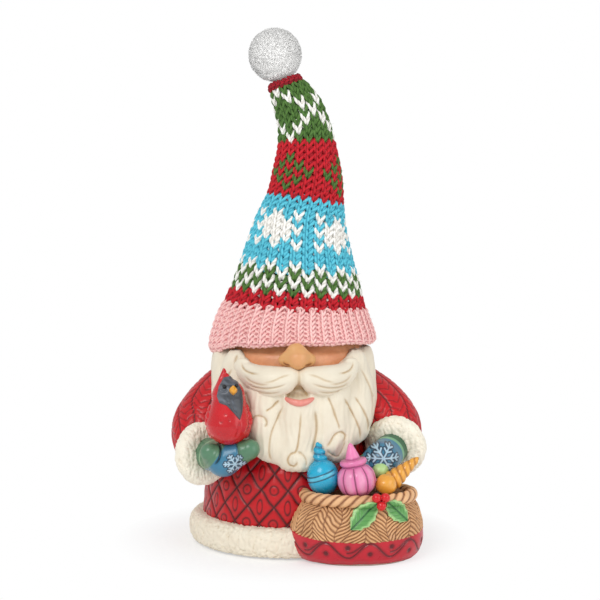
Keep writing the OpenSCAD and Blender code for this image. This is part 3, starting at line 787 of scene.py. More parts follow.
def hat_fuzz(colour):
    """The halo of loose fibres on one yarn."""
    lines = np.vstack([line for line, _ in FUZZ[colour]])
    out = np.vstack([way for _, way in FUZZ[colour]])
    thick = 0.05 * np.array([1.0, 0.9, 0.7, 0.3])[None]
    fuzz = fibres("fuzz_" + colour, lines, thick, out, bpy.data.materials["yarn_" + colour])
    if colour == "pink":
        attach(fuzz, "hat")
    else:
        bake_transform(fuzz)


def knitting(name, colour, parts):
    """A piece of knitting from its tubes of one yarn."""
    verts, faces, depth = joined(parts)
    yarn = yarn_finish("yarn_" + colour, *YARN_COLOURS[colour])
    return make_piece(name, verts, faces, yarn, {"depth": depth})


def build_hat():
    knit_bands()
    lining = hat_lining()
    for colour, parts in YARNS.items():
        piece = knitting("knit_" + colour, colour, parts)
        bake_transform(piece)
    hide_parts("hat_knit", "hat_tip_knit")
    knit_brim()
    brim = knitting("knit_brim", "pink", YARNS["pink"])
    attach(brim, "hat")
    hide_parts("hat_brim")
    # The gathered edge is knitted in a darker copy of the red yarn: painted shade.
    rim = knitting("knit_tip_edge", "crimson", hat_tip_edge())
    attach(rim, "hat_tip")
    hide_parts("hat_tip_edge")
    for colour in FUZZ:
        hat_fuzz(colour)
    wad = hat_filling()
    for piece in (lining, wad):
        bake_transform(piece)


build_hat()
pompom()


# --- Sculpting ---
def smooth_least(a, b, soft):
    """The smaller of two distances, rounded where they meet."""
    if soft <= 0:
        return np.minimum(a, b)
    h = np.clip(0.5 + 0.5 * (b - a) / soft, 0, 1)
    return b * (1 - h) + a * h - soft * h * (1 - h)


def limb_distance(p, a, ra, b, rb):
    """Distance to a straight limb from a ball at a to a ball at b."""
    a, b = np.asarray(a, float), np.asarray(b, float)
    line = b - a
    h = np.clip(((p - a) @ line) / max(line @ line, 1e-9), 0, 1)
    return np.linalg.norm(p - a - h[..., None] * line, axis=-1) - (ra + (rb - ra) * h)


def egg_distance(p, middle, radii):
    """About the distance to an egg with those three radii."""
    q = (p - middle) / radii
    k = np.linalg.norm(q, axis=-1)
    k2 = np.linalg.norm(q / radii, axis=-1)
    return k * (k - 1) / np.maximum(k2, 1e-6)


def off_path(x, z, line):
    """How far places are from a line of (x, z) points, and how far along it each is nearest, from 0 to 1."""
    near = np.full(np.broadcast(x, z).shape, 1e9, np.float32)
    along = np.zeros(near.shape, np.float32)
    last = len(line) - 1
    for k in range(last):
        a, step = line[k], line[k + 1] - line[k]
        t = np.clip(((x - a[0]) * step[0] + (z - a[1]) * step[1]) / (step @ step), 0, 1)
        gap = np.hypot(x - a[0] - t * step[0], z - a[1] - t * step[1])
        closer = gap < near
        near = np.where(closer, gap, near)
        along = np.where(closer, (k + t) / last, along)
    return near, along


def end_fade(along, ends):
    """Full along the middle of a line and fading out over a share of it at each end."""
    return smoothstep(-0.02, max(ends[0], 1e-3), along) * smoothstep(1.02, 1 - max(ends[1], 1e-3), along)


class Clay:
    """A block of clay, held as distances in mm to its surface at the points of a grid. Inside is below 0."""

    def __init__(self, lo, hi, cell):
        self.cell = cell
        self.lo = np.asarray(lo, float)
        self.size = np.ceil((np.asarray(hi) - self.lo) / cell).astype(int) + 1
        self.d = np.full(self.size, 5.0, np.float32)
        self.washes = []

    def axis(self, k, first=0, last=None):
        last = self.size[k] if last is None else last
        return (self.lo[k] + self.cell * np.arange(first, last)).astype(np.float32)

    def part(self, lo, hi):
        """The cut of the grid between two corners, and its points."""
        a = np.clip(np.floor((np.asarray(lo) - self.lo) / self.cell).astype(int), 0, self.size)
        b = np.clip(np.ceil((np.asarray(hi) - self.lo) / self.cell).astype(int) + 1, 0, self.size)
        cut = tuple(slice(i, j) for i, j in zip(a, b))
        axes = [self.axis(k, a[k], b[k]) for k in range(3)]
        return cut, np.stack(np.meshgrid(*axes, indexing="ij"), -1)

    def limb(self, a, ra, b, rb, soft):
        pad = soft + 2.0
        lo = np.minimum(np.subtract(a, ra), np.subtract(b, rb)) - pad
        hi = np.maximum(np.add(a, ra), np.add(b, rb)) + pad
        cut, p = self.part(lo, hi)
        self.d[cut] = smooth_least(self.d[cut], limb_distance(p, a, ra, b, rb), soft)

    def ball(self, a, r, soft):
        self.limb(a, r, np.add(a, [0, 0, 0.01]), r, soft)

    def strand(self, balls, soft, steps=4):
        """A limb that runs smoothly through balls of [x, y, z, radius]."""
        line = curve_through(balls, steps)
        whole = Clay.__new__(Clay)
        whole.cell, whole.lo, whole.size = self.cell, self.lo, self.size
        whole.d = np.full(self.size, 5.0 + soft, np.float32)
        for a, b in zip(line[:-1], line[1:]):
            whole.limb(a[:3], a[3], b[:3], b[3], 0.3)
        self.d = smooth_least(self.d, whole.d, soft)

    def carve(self, cut, distance, soft=0.0):
        """Takes away what is inside another shape, in one cut of the grid."""
        self.d[cut] = -smooth_least(-self.d[cut], distance, soft)

    def keep_between(self, lowest_z, highest_z):
        z = self.axis(2)[None, None, :]
        self.d = np.maximum(np.maximum(self.d, z - highest_z), lowest_z - z)

    def groove(self, path, wide, deep, behind=1e9, ends=(0.3, 0.3), valley=0.0, wash=0.0):
        """A groove seen from the front along a path of (x, z) points; behind is where it stops, in y.
        valley is the depth of the broad dip that it lies in; the last number says how much darker the groove
        is painted, partly as antiquing and partly as painted shade."""
        line = curve_through(path, 6)
        reach = max(2.2 * wide, 4.0 if valley else 0)
        (x0, z0), (x1, z1) = line.min(axis=0) - reach, line.max(axis=0) + reach
        cut, _ = self.part([x0, -1e4, z0], [x1, behind, z1])
        x = self.axis(0, cut[0].start, cut[0].stop)[:, None]
        z = self.axis(2, cut[2].start, cut[2].stop)[None]
        near, along = off_path(x, z, line)
        cutting = deep * ridge(near, wide) + valley * ridge(near, 1.9)
        self.d[cut] += (cutting * end_fade(along, ends))[:, None, :].astype(np.float32)
        if wash:
            self.washes.append((line, wide, behind, ends, wash))

    def grooves(self, paths, wide, deep, **others):
        for path in paths:
            self.groove(path, wide, deep, **others)

    def blurred(self, reach):
        """The distances, averaged over a box of that reach in mm to each side, twice."""
        n = max(1, int(round(reach / self.cell)))
        out = np.clip(self.d, -3, 3)
        for _ in range(2):
            for k in range(3):
                out = np.moveaxis(out, k, 0)
                padded = np.concatenate([out[:1].repeat(n + 1, 0), out, out[-1:].repeat(n, 0)])
                total = np.cumsum(padded, axis=0, dtype=np.float64)
                out = ((total[2 * n + 1:] - total[:-2 * n - 1]) / (2 * n + 1)).astype(np.float32)
                out = np.moveaxis(out, 0, k)
        return out

    def look_up(self, grid, points):
        """Grid values at points in mm."""
        g = (points - self.lo) / self.cell
        i = np.clip(np.floor(g).astype(int), 0, self.size - 2)
        f = np.clip(g - i, 0, 1)
        out = 0
        for corner in range(8):
            o = np.array([corner & 1, corner >> 1 & 1, corner >> 2 & 1])
            share = np.where(o, f, 1 - f).prod(axis=-1)
            at = i + o
            out = out + share * grid[at[..., 0], at[..., 1], at[..., 2]]
        return out

    def skin(self):
        """The surface as points in mm and four-sided faces, with which way each point faces."""
        grid = openvdb.FloatGrid(5.0)
        grid.copyFromArray(np.clip(self.d, -5, 5).astype(np.float32))
        points, _, quads = grid.convertToPolygons(isovalue=0.0)
        verts = points.astype(float) * self.cell + self.lo
        quads = quads.astype(np.int64)[:, ::-1]
        steps = np.eye(3) * self.cell
        slope = [self.look_up(self.d, verts + e) - self.look_up(self.d, verts - e) for e in steps]
        return verts, quads, unit(np.stack(slope, -1))

    def hollows(self, verts, reach, scale, shallow, most):
        """How far down in a crevice each point lies, from 0 to 1. Dips up to shallow don't count."""
        deep = most * np.clip((-self.look_up(self.blurred(reach), verts) - shallow) / scale, 0, 1)
        for line, wide, behind, ends, wash in self.washes:
            lo, hi = line.min(axis=0) - 3 * wide, line.max(axis=0) + 3 * wide
            flat = verts[:, [0, 2]]
            close = np.where(((flat > lo) & (flat < hi)).all(axis=1) & (verts[:, 1] < behind))[0]
            near, along = off_path(flat[close, 0], flat[close, 1], line)
            darkened = wash * ridge(near, 1.15 * wide) * end_fade(along, ends)
            deep[close] = np.maximum(deep[close], darkened)
        return deep


def clay_for(node, pad, cell):
    """An empty block of clay about a node's box."""
    return Clay(low(node) - pad, high(node) + pad, cell)


def cast(clay, name, node, paint, scale, shift=None, marks=None, reach=1.6, shallow=0.0, most=1.0):
    """A painted casting from a block of clay. shift moves its skin out, marks adds marks for its paint,
    and the rest says how its hollows count."""
    verts, quads, out = clay.skin()
    all_marks = {"hollow": clay.hollows(verts, reach, scale, shallow, most)}
    if shift is not None:
        verts = verts + out * shift(verts)[:, None]
    for key, make in (marks or {}).items():
        all_marks[key] = make(verts, out)
    return on_figure(make_piece(name, verts, [quads], paint, marks=all_marks), node)


# --- Painted resin ---
DARK_INK = (25, 10, 10)


def resin(name, colour, wash, gloss, coat, paint=None, ink=DARK_INK, wash_full=0.85, mottle=0.1, grain=0.05):
    """Hand-painted cast resin: a base coat, a darker colour in hollows that is partly antiquing and partly
    painted shade, and ink on marked lines.
    paint is a mark of colours that takes the place of the base coat."""
    f = Finish(name, roughness=gloss, Coat_Weight=coat, Coat_Roughness=0.18, Specular_IOR_Level=0.35)
    base = f.mark_colour(paint) if paint else linear(colour)
    patch = f.spread(f.noise(9, 3), 0.3, 0.7, 0.0, mottle)
    base = f.mix(patch, base, linear(wash))
    streak = f.spread(f.noise(1.4, 4, 0.65), 0.3, 0.75, 0.75, 1.15)
    # Darker in hollows: partly the antiquing that gathers there, partly painted shade.
    depth = f.maths("MULTIPLY", f.spread(f.mark("hollow"), 0.04, 0.85, 0.0, wash_full), streak)
    base = f.mix(depth, base, linear(wash))
    f.colour(f.mix(f.mark("ink"), base, linear(ink)))
    f.rough(f.spread(f.noise(2.2, 3), 0.2, 0.8, gloss - 0.05, gloss + 0.08))
    f.bump(f.noise(0.9, 3, 0.6), grain, 0.6)
    return f.material


# --- Face ---
def mirrored(points):
    return [[-p[0], *p[1:]] for p in points]


BEARD_LOCKS = [
    [[0, -32, 83, 12.4], [0, -34.4, 71, 12.0], [-0.4, -36.6, 58, 10.4], [-2.2, -38.6, 47.4, 8.9]],
    [[13, -30, 83, 10.4], [13.7, -32.6, 72, 11.6], [13.8, -35.4, 61, 10.0], [11.7, -37.8, 51.6, 7.7]],
    [[24.6, -21.5, 85, 8.4], [25.4, -24.5, 74, 10.4], [25.2, -28.4, 64, 9.8], [22.8, -31.2, 56.6, 8.2]],
    [[30.8, -12, 86, 6.5], [30.9, -14, 77, 7.0], [30.2, -17, 69, 7.6], [28.2, -19.5, 62.4, 7.8]],
]
# More beard on one side only: beside the middle lock, and behind the ornaments.
BEARD_FILL = [
    [[-10.5, -33, 62, 8.5], [-11.3, -36.4, 50.6, 8.2]],
    [[17.0, -32, 66, 8.0], [17.6, -35, 55, 8.0], [16.6, -36.4, 48.6, 7.0]],
    [[26.4, -27, 62, 7.6], [26.8, -28.6, 56.4, 7.0]],
]
# The beard's sides, back to the hair.
BEARD_SIDE = [
    [[32.6, -9.8, 89, 4.0], [33.4, -10.0, 79, 4.5], [32.4, -11.5, 69, 5.0], [30.6, -13.5, 61.5, 5.4]],
    [[31.2, -15.0, 72, 6.2], [30.0, -18.0, 61, 6.4], [28.4, -21.5, 55.5, 6.0]],
]
# The beard's edge under the face: how far out, and its height.
FACE_EDGE = [
    [0, 82], [8, 83.5], [14, 84.5], [19, 86.0], [23.2, 89.5], [26.0, 93.5], [29.5, 97], [34, 99], [45, 99],
]
# Creases between the locks, as (x, z) seen from the front.
BEARD_CREASES = [
    [[-6.3, 70.2], [-8.9, 64.5], [-12.0, 57.6], [-13.1, 51.6], [-12.9, 47.0], [-11.1, 42.8]],
    [[0.8, 68.4], [0.6, 62.7], [0.0, 56.2], [-1.3, 49.4], [-3.7, 47.9], [-4.9, 45.5], [-4.3, 43.1],
     [-2.4, 42.3], [-0.9, 43.9], [-1.9, 45.1]],
    [[-1.2, 49.2], [1.5, 47.7], [3.1, 45.0], [3.2, 41.6]],
    [[12.6, 73.5], [14.3, 70.0], [15.9, 65.7], [17.7, 60.4], [18.3, 57.6]],
    [[12.3, 49.9], [14.0, 52.6], [15.9, 55.7], [18.7, 57.0], [20.9, 55.3], [20.4, 53.2], [19.0, 52.9]],
    [[12.3, 49.3], [14.3, 47.3], [17.6, 45.9], [19.9, 49.9], [21.0, 53.6]],
    [[20.4, 72.4], [22.4, 68.6], [24.7, 64.2], [27.0, 59.4], [28.3, 55.4], [28.5, 51.0]],
    [[25.4, 72.4], [28.2, 68.0], [30.9, 63.4], [32.3, 58.7], [32.3, 54.7]],
    [[28.7, 84.5], [32.0, 78.6], [34.6, 71.6], [35.2, 65.7], [34.5, 60.3]],
    [[-28.9, 84.5], [-32.0, 78.6], [-34.6, 71.6], [-35.2, 65.7]],
    [[-20.3, 60.0], [-20.7, 62.7], [-18.6, 64.6], [-15.7, 64.2], [-14.2, 62.3], [-14.5, 60.4],
     [-15.7, 60.1]],
    [[-23.4, 75.0], [-22.1, 70.5], [-20.4, 66.4]],
    [[-8.4, 71.8], [-12.0, 68.4], [-15.0, 66.6]],
    [[7.2, 67.4], [8.0, 60.6], [7.2, 53.5], [5.2, 47.5]],
    [[-26.5, 90.5], [-27.4, 87.4], [-25.8, 85.4], [-22.6, 84.6]],
]
# Curled ends of locks, standing out of the beard: [x, y, z, radius], from the lock to its end.
BEARD_CURLS = [
    [[-1.2, -43.0, 48.2, 2.6], [-1.0, -43.2, 46.0, 3.6], [-0.4, -43.4, 43.8, 4.2]],
    [[13.8, -41.6, 48.2, 2.6], [15.8, -42.2, 51.0, 3.0], [17.8, -42.2, 53.6, 2.8]],
]


# Room in the beard for the bird, which is cast in front of it: the middle and radii of an egg.
BIRD_ROOM = np.array([[-31.0, -43.2, 63.0], [10.6, 11.0, 11.6]])
# Dips between the moustache and the lip, painted darker: partly antiquing, partly painted shade.
MOUTH_DIPS = [
    dict(path=[[-4.8, 76.3], [0, 77.2], [4.4, 76.3]], wide=1.6, wash=0.7),
    dict(path=[[-6.0, 74.4], [-0.5, 74.0], [5.2, 74.4]], wide=2.0, wash=0.5),
]


def hair_sway(v):
    """Gentle swells along the beard's locks."""
    along_hair = 0.1 * np.sin(v[:, 0] * 2.3 + 2 * waves(v, 12, 43, 1)) * smoothstep(-10, -20, v[:, 1])
    return 0.16 * waves(v, 9, 41, 1) + along_hair


def beard():
    clay = clay_for("beard", 3, 0.34)
    for lock in BEARD_LOCKS:
        clay.strand(lock, soft=2.4)
        clay.strand(mirrored(lock), soft=2.4)
    for lock in BEARD_FILL + BEARD_SIDE + [mirrored(side) for side in BEARD_SIDE]:
        clay.strand(lock, soft=2.4)
    for curl in BEARD_CURLS:
        clay.strand(curl, soft=0.8)
    for k, path in enumerate(BEARD_CREASES):
        # Each crease is painted darker by its own amount: partly antiquing, partly painted shade.
        darkened = 0.62 + 0.14 * math.sin(2.2 * k)
        clay.groove(path, 0.4, 0.5, behind=-8, ends=(0.16, 0.2), valley=0.5, wash=darkened)
    for dip in MOUTH_DIPS:
        clay.groove(deep=3.6, behind=-30, ends=(0.15, 0.15), **dip)
    cut, p = clay.part(low("beard") - 3, high("beard") + 3)
    brow = np.interp(np.abs(p[..., 0]), *np.array(FACE_EDGE).T)
    clay.carve(cut, (brow - p[..., 2]).astype(np.float32), 1.2)
    clay.keep_between(low("beard")[2] + 0.4, high("beard")[2])
    clay.carve(cut, egg_distance(p, *BIRD_ROOM))
    paint = resin("beard_cream", (232, 224, 205), (178, 142, 86), 0.5, wash_full=0.92, coat=0.1, mottle=0.12)
    cast(clay, "beard_locks", "beard", paint, 0.5, hair_sway, reach=1.1, shallow=0.1, most=0.7)


MOUSTACHE_HALF = [
    [-0.3, -43.8, 82.0, 3.6], [4.6, -44.4, 81.3, 5.0], [11.5, -42.7, 80.1, 6.5], [18.2, -38.6, 80.9, 5.9],
    [23.0, -34.8, 83.6, 4.3], [25.2, -32.4, 86.4, 2.6],
]
MOUSTACHE_TIP = [
    [6.0, -44.0, 78.6, 4.2], [12.5, -42.4, 77.0, 4.2], [18.5, -38.8, 76.6, 3.0], [22.3, -36.0, 77.4, 1.8],
    [23.7, -34.8, 79.0, 1.0],
]
MOUSTACHE_CURL = [
    [25.9, -32.6, 85.6, 2.5], [24.8, -33.6, 87.3, 1.7], [22.9, -34.9, 87.4, 1.35], [22.2, -35.6, 86.0, 1.2],
]
# Each groove's depth, and its path on the gnome's left half.
MOUSTACHE_GROOVES = [
    (0.7, [[25.2, 88.2], [24.6, 85.8], [23.0, 84.2], [20.0, 83.4], [16.4, 83.6]]),
    (0.3, [[3.0, 83.8], [7.5, 82.6], [12.0, 80.6], [17.0, 79.6]]),
    (0.6, [[4.6, 79.8], [9.0, 78.2], [14.5, 77.2], [20.0, 77.6], [23.4, 79.6]]),
    (0.5, [[7.6, 76.0], [12.0, 75.0], [17.0, 75.2], [21.0, 76.4]]),
    (0.35, [[12.5, 79.4], [17.0, 78.9], [21.5, 80.2], [24.6, 83.2]]),
]


def moustache():
    clay = clay_for("moustache", 1.5, 0.35)
    for strand, soft in ((MOUSTACHE_HALF, 1.2), (MOUSTACHE_TIP, 1.2), (MOUSTACHE_CURL, 0.6)):
        for side in (strand, mirrored(strand)):
            clay.strand(side, soft=soft, steps=5)
    for deep, path in MOUSTACHE_GROOVES:
        clay.grooves([path, mirrored(path)], 0.42, deep, valley=0.12, wash=0.5)
    clay.groove([[0.1, 87], [0, 82], [-0.1, 76]], 1.7, 1.1, ends=(0.1, 0.05))
    paint = bpy.data.materials["beard_cream"]
    cast(clay, "moustache_halves", "moustache", paint, 0.35, reach=1.0, shallow=0.08)


def nose():
    clay = clay_for("nose", 2.5, 0.3)
    clay.limb([-0.9, -43.0, 93.2], 2.8, [-0.5, -44.4, 90.4], 4.4, 1.5)
    clay.ball([-0.4, -44.2, 88.8], 3.3, 2.5)
    for x in (-5.9, 5.0):
        clay.limb([-0.9 + 0.25 * x, -42.2, 92.6], 2.8, [x, -41.2, 89.2], 2.9, 3.4)
    clay.limb([-0.5, -38, 91], 4.4, [-0.5, -32, 90], 4, 2)
    nostrils = [[[-7.2, 88.8], [-5.6, 87.4], [-3.4, 87.2]], [[2.4, 87.2], [4.4, 87.2], [6.2, 88.2]]]
    clay.grooves(nostrils, 0.4, 0.5, behind=-38, wash=0.8)

    def flush(v, _):
        return smoothstep(-45.5, -49.0, v[:, 1]) * 0.5

    cast(clay, "nose_round", "nose", nose_paint(), 0.35, marks={"flush": flush}, shallow=0.05)


# How far light spreads under the skin, in metres, for red, green and blue.
SKIN_DEPTH = (0.003, 0.0015, 0.001)


def nose_paint():
    skin = dict(Subsurface_Weight=0.08, Subsurface_Radius=SKIN_DEPTH)
    f = Finish("nose_peach", roughness=0.42, Coat_Weight=0.3, Coat_Roughness=0.25, **skin)
    patch = f.spread(f.noise(4, 2), 0.3, 0.7, 0, 0.35)
    base = f.mix(patch, linear((216, 162, 102)), linear((206, 144, 88)))
    base = f.mix(f.mark("flush"), base, linear((218, 152, 104)))
    # Darker in its hollows, such as the nostrils: partly antiquing, partly painted shade.
    f.colour(f.mix(f.spread(f.mark("hollow"), 0.05, 0.9, 0, 0.8), base, linear((140, 72, 40))))
    f.bump(f.noise(0.8, 3), 0.05, 0.6)
    return f.material


def lower_lip():
    lo, hi = low("lower_lip"), high("lower_lip")
    clay = clay_for("lower_lip", 1.5, 0.25)
    x0, _, z0 = centre("lower_lip")
    span = (hi[0] - lo[0]) / 2 - 1.0
    front, foot = low("beard")[1] + 0.6, lo[2] + 1.0
    ts = np.linspace(-1, 1, 9)
    arc = [[x0 + span * 1.12 * t, front + 3.6 * t * t, foot + 2.2 * t * t, 1.5 - 0.9 * t * t] for t in ts]
    clay.strand(arc, 0.6, 3)
    clay.groove([[x0, z0 + 2], [x0, z0 - 0.6]], 0.5, 0.2)
    paint = resin("lip_pink", (228, 142, 130), (160, 78, 66), 0.3, coat=0.5, mottle=0.15)
    cast(clay, "lip", "lower_lip", paint, 0.3)


def skin_paint():
    skin = dict(Subsurface_Weight=0.06, Subsurface_Radius=SKIN_DEPTH)
    f = Finish("skin_blush", roughness=0.48, Coat_Weight=0.2, **skin)
    flush = f.spread(f.noise(9, 3), 0.35, 0.65)
    base = f.mix(flush, linear((238, 174, 128)), linear((224, 152, 106)))
    fine = f.spread(f.noise(1.6, 4), 0.35, 0.75, 0, 0.35)
    f.colour(f.mix(fine, base, linear((200, 122, 82))))
    f.bump(f.noise(1.2, 4), 0.08, 0.7)
    return f.material


beard()
moustache()
nose()
lower_lip()


# --- Turned pieces ---
def resampled(profile, step):
    """Points along a line through profile, evenly spaced."""
    line = curve_through(profile, 8)
    along = length_along(line)
    even = np.linspace(0, along[-1], max(2, int(along[-1] / step)))
    return np.stack([np.interp(even, along, line[:, k]) for k in range(line.shape[1])], -1), even


def grid_normals(points):
    """Which way each point of a stack of rings faces."""
    along = np.roll(points, -1, 1) - np.roll(points, 1, 1)
    return unit(np.cross(along, np.gradient(points, axis=0)))


def turned(profile, step, columns):
    """Rings round the axis at (radius, height) places along a profile, from the bottom up, and the
    angle of each column."""
    line, _ = resampled(profile, step)
    a = np.linspace(0, TAU, columns, endpoint=False)
    r, z = line[:, :1], line[:, 1:]
    return np.stack([r * np.sin(a), -r * np.cos(a), z + 0 * a], -1), a


def capped(points):
    """Closes a stack of rings at both ends with a point."""
    rows, columns = points.shape[:2]
    verts = np.vstack([points.reshape(-1, 3), points[0].mean(axis=0), points[-1].mean(axis=0)])
    k = np.arange(columns)
    k2 = (k + 1) % columns
    n = rows * columns
    foot = np.stack([np.full(columns, n), k2, k], -1)
    top = np.stack([np.full(columns, n + 1), (rows - 1) * columns + k, (rows - 1) * columns + k2], -1)
    return verts, [grid_faces(rows, columns), np.vstack([foot, top])]


def end_marks(values):
    return np.concatenate([values.ravel(), [0, 0]])


# --- Robe ---
ROBE_PROFILE = [[42, 0.9], [42.2, 9], [42, 16.5], [41.2, 25.7], [39, 37.2], [33.75, 53.6], [27, 71.3]]
DIAMONDS_ROUND = 20
DIAMOND_TALL = 15.0


def off_line(t):
    """How far t is from the nearest whole number."""
    return np.abs(t - np.round(t))


def quilted(around, height, ring_size):
    """How far places are from the lines of a diamond quilt, and from the motifs in its diamonds: rings
    and ovals in turn. around counts diamonds, and ring_size is a diamond's width in mm."""
    w = height / DIAMOND_TALL
    scale = np.sqrt(1 / ring_size**2 + 1 / DIAMOND_TALL**2)
    lattice = np.minimum(off_line(around + w), off_line(around - w)) / scale
    p, q = np.floor(around + w), np.floor(around - w)
    x = (around - (p + q + 1) / 2) * ring_size
    y = (w - (p - q) / 2) * DIAMOND_TALL
    from_middle = np.hypot(x, y)
    ring = np.minimum(np.abs(from_middle - 2.0), from_middle + 0.15)
    oval = np.abs(np.hypot(x * 2.1, y) - 3.0) / 1.4
    return lattice, np.where((p + q) % 2 == 0, ring, oval)


def robe():
    points, a = turned(ROBE_PROFILE, 0.36, 740)
    height = points[..., 2]
    around = a[None] / TAU * DIAMONDS_ROUND + 0.35 + 0 * height
    size = TAU * np.hypot(points[..., 0], points[..., 1]) / DIAMONDS_ROUND
    wobble = 0.02 * waves(points, 12, 51)
    lattice, motif = quilted(around + wobble, height + 8 * wobble, size)
    line, fine = ridge(lattice, 0.44), ridge(motif, 0.36)
    shift = 0.35 * smoothstep(0, 3.5, lattice) - 0.45 * line - 0.22 * fine
    verts, faces = capped(points + grid_normals(points) * shift[..., None])
    ink = end_marks(np.clip(0.92 * line + 0.8 * fine, 0, 1))
    hollow = end_marks(0.5 * ridge(lattice, 1.1) + 0.25 * ridge(motif, 0.8))
    finish = dict(ink=(16, 3, 6), mottle=0.2, grain=0.04)
    paint = resin("robe_crimson", (202, 8, 22), (96, 4, 12), 0.34, coat=0.14, **finish)
    piece = make_piece("robe_quilted", verts, faces, paint, {"ink": ink, "hollow": hollow})
    on_figure(piece, "robe")


# --- Fur ---
def puffs(p, size, seed):
    """Soft round lumps with creases between them, from 0 in a crease to 1: smooth noise folded at zero."""
    return np.minimum(1, 1.6 * np.abs(waves(p, size, seed, 1)) ** 0.7)


def fur_lumps(p, lump, seed):
    """Height of soft fur, and how deep its creases are, at points p."""
    big, middle, small = (puffs(p, lump * k, seed + n) for n, k in enumerate((2.4, 1.3, 0.65)))
    height = 0.45 * big + 0.33 * middle + 0.22 * small
    return height, smoothstep(0.5, 0.12, height)


def fur_paint(name, base, wash_full):
    return resin(name, base, (190, 162, 116), 0.55, wash_full=wash_full, coat=0.05, mottle=0.12, grain=0.12)


# How far apart the points of a ring of fur are, and how wide its middle-sized lumps.
FUR_STEP = 0.42
FUR_LUMP = 2.6


def rounded(wave, power):
    """A sine or cosine pushed out, so that the section made from it is squarer than an oval."""
    return np.sign(wave) * np.abs(wave) ** (2 / power)


def fur_ring(middle, axis, side, radius, half, lump, seed, power):
    """Points and faces of a ring of fur round an axis, and its creases. radius is to the middle of its
    section, and half that section's half width and half height."""
    columns = int(TAU * (radius + half[0]) / FUR_STEP)
    rows = int(TAU * np.sqrt((half[0] ** 2 + half[1] ** 2) / 2) / FUR_STEP)
    a = np.linspace(0, TAU, columns, endpoint=False)[None]
    s = np.linspace(0, TAU, rows, endpoint=False)[:, None]
    c, t = np.cos(s), np.sin(s)
    out = side * np.cos(a)[..., None] + np.cross(axis, side) * np.sin(a)[..., None]
    wide, tall = half[0] * rounded(c, power), half[1] * rounded(t, power)
    base = middle + out * (radius + wide)[..., None] + axis * tall[..., None]
    away = unit(out * (c / half[0])[..., None] + axis * (t / half[1])[..., None])
    rise, crease = fur_lumps(base, FUR_LUMP, seed)
    verts = (base + away * ((rise - 0.75) * lump)[..., None]).reshape(-1, 3)
    return verts, [grid_faces(rows, columns, closed=True)], {"hollow": np.clip(crease, 0, 1).ravel()}


FRONT = np.array([0.0, -1.0, 0.0])


def hem():
    lo, hi = low("fur_hem"), high("fur_hem")
    middle = np.array([0, 0, (hi[2] + lo[2]) / 2 - 0.6])
    half = (5.4, (hi[2] - lo[2]) / 2 - 0.2)
    verts, faces, marks = fur_ring(middle, UP, FRONT, hi[0] - 5.7, half, 1.3, seed=61, power=2.6)
    verts[:, 2] = np.maximum(verts[:, 2], lo[2] + 0.1)
    paint = fur_paint("fur_cream", (238, 229, 210), 0.45)
    on_figure(make_piece("hem_fur", verts, faces, paint, marks), "fur_hem")


# --- Arms ---
RIGHT_AIM = unit([0.62, -0.77, 0.1])
LEFT_AIM = unit([-0.35, -0.9, -0.2])
RIGHT_WRIST, LEFT_WRIST = centre("right_cuff"), centre("left_cuff")
SHOULDER_Z = high("robe")[2] - 5.6
# Each arm from the shoulder to inside its cuff: [x, y, z, radius].
RIGHT_ARM = [
    [-30, 2, SHOULDER_Z, 16.2], [-37.8, -3.5, 59.0, 15.8], [-42.6, -9, 52.8, 14.3],
    [*(RIGHT_WRIST - 7.5 * RIGHT_AIM + [1.5, 0, 1]), 9.2],
]
LEFT_ARM = [
    [31, 2, SHOULDER_Z, 16.2], [38.6, -3.5, 61.0, 15.8], [45.2, -9, 55.0, 14.3],
    [*(LEFT_WRIST - 8.5 * LEFT_AIM), 10.6],
]


def along_line(p, line):
    """For each point: how far along a line of points its nearest place is, and that place and direction.
    The line's ends run on past their last points."""
    length = length_along(line)
    last = len(line) - 2
    best = np.full(len(p), 1e9)
    at, place, way = np.zeros(len(p)), np.zeros((len(p), 3)), np.zeros((len(p), 3))
    for k in range(last + 1):
        step = line[k + 1] - line[k]
        t = (p - line[k]) @ step / (step @ step)
        t = np.clip(t, 0 if k else -5, 1 if k < last else 5)
        near = line[k] + t[:, None] * step
        d = np.linalg.norm(p - near, axis=1)
        hit = d < best
        best = np.where(hit, d, best)
        at = np.where(hit, length[k] + t * np.linalg.norm(step), at)
        place = np.where(hit[:, None], near, place)
        way = np.where(hit[:, None], unit(step), way)
    return at, place, way


def chevrons(v, arm):
    """How far points are from the bands along an arm, and from the leaf-like chevrons between them."""
    line = curve_through(np.array(arm)[:, :3], 5)
    at, place, way = along_line(v, line)
    rel = unit(v - place)
    side = unit(np.cross(way, UP))
    top = np.cross(side, way)
    turn = np.arctan2((rel * side).sum(1), (rel * top).sum(1))
    stripes = turn / TAU * 10
    across = off_line(stripes) * TAU * 14 / 10
    lean = np.abs((stripes % 1) - 0.5)
    band = np.minimum(across, 9.0)
    rib = off_line((at + lean * 7.0) / 3.4) * 3.4
    return band, np.where(across < 0.9, 9, rib)


def sleeve(name, node, arm):
    clay = clay_for(node, 1.5, 0.42)
    clay.strand(arm, soft=2.0, steps=5)

    def relief(v):
        band, rib = chevrons(v, arm)
        return 0.2 * smoothstep(0, 2.5, band) - 0.4 * ridge(band, 0.5) - 0.25 * ridge(rib, 0.45)

    def ink(v, _):
        band, rib = chevrons(v, arm)
        return np.clip(ridge(band, 0.42) * 0.9 + 0.55 * ridge(rib, 0.34), 0, 1)

    cast(clay, name, node, bpy.data.materials["robe_crimson"], 0.5, relief, {"ink": ink})


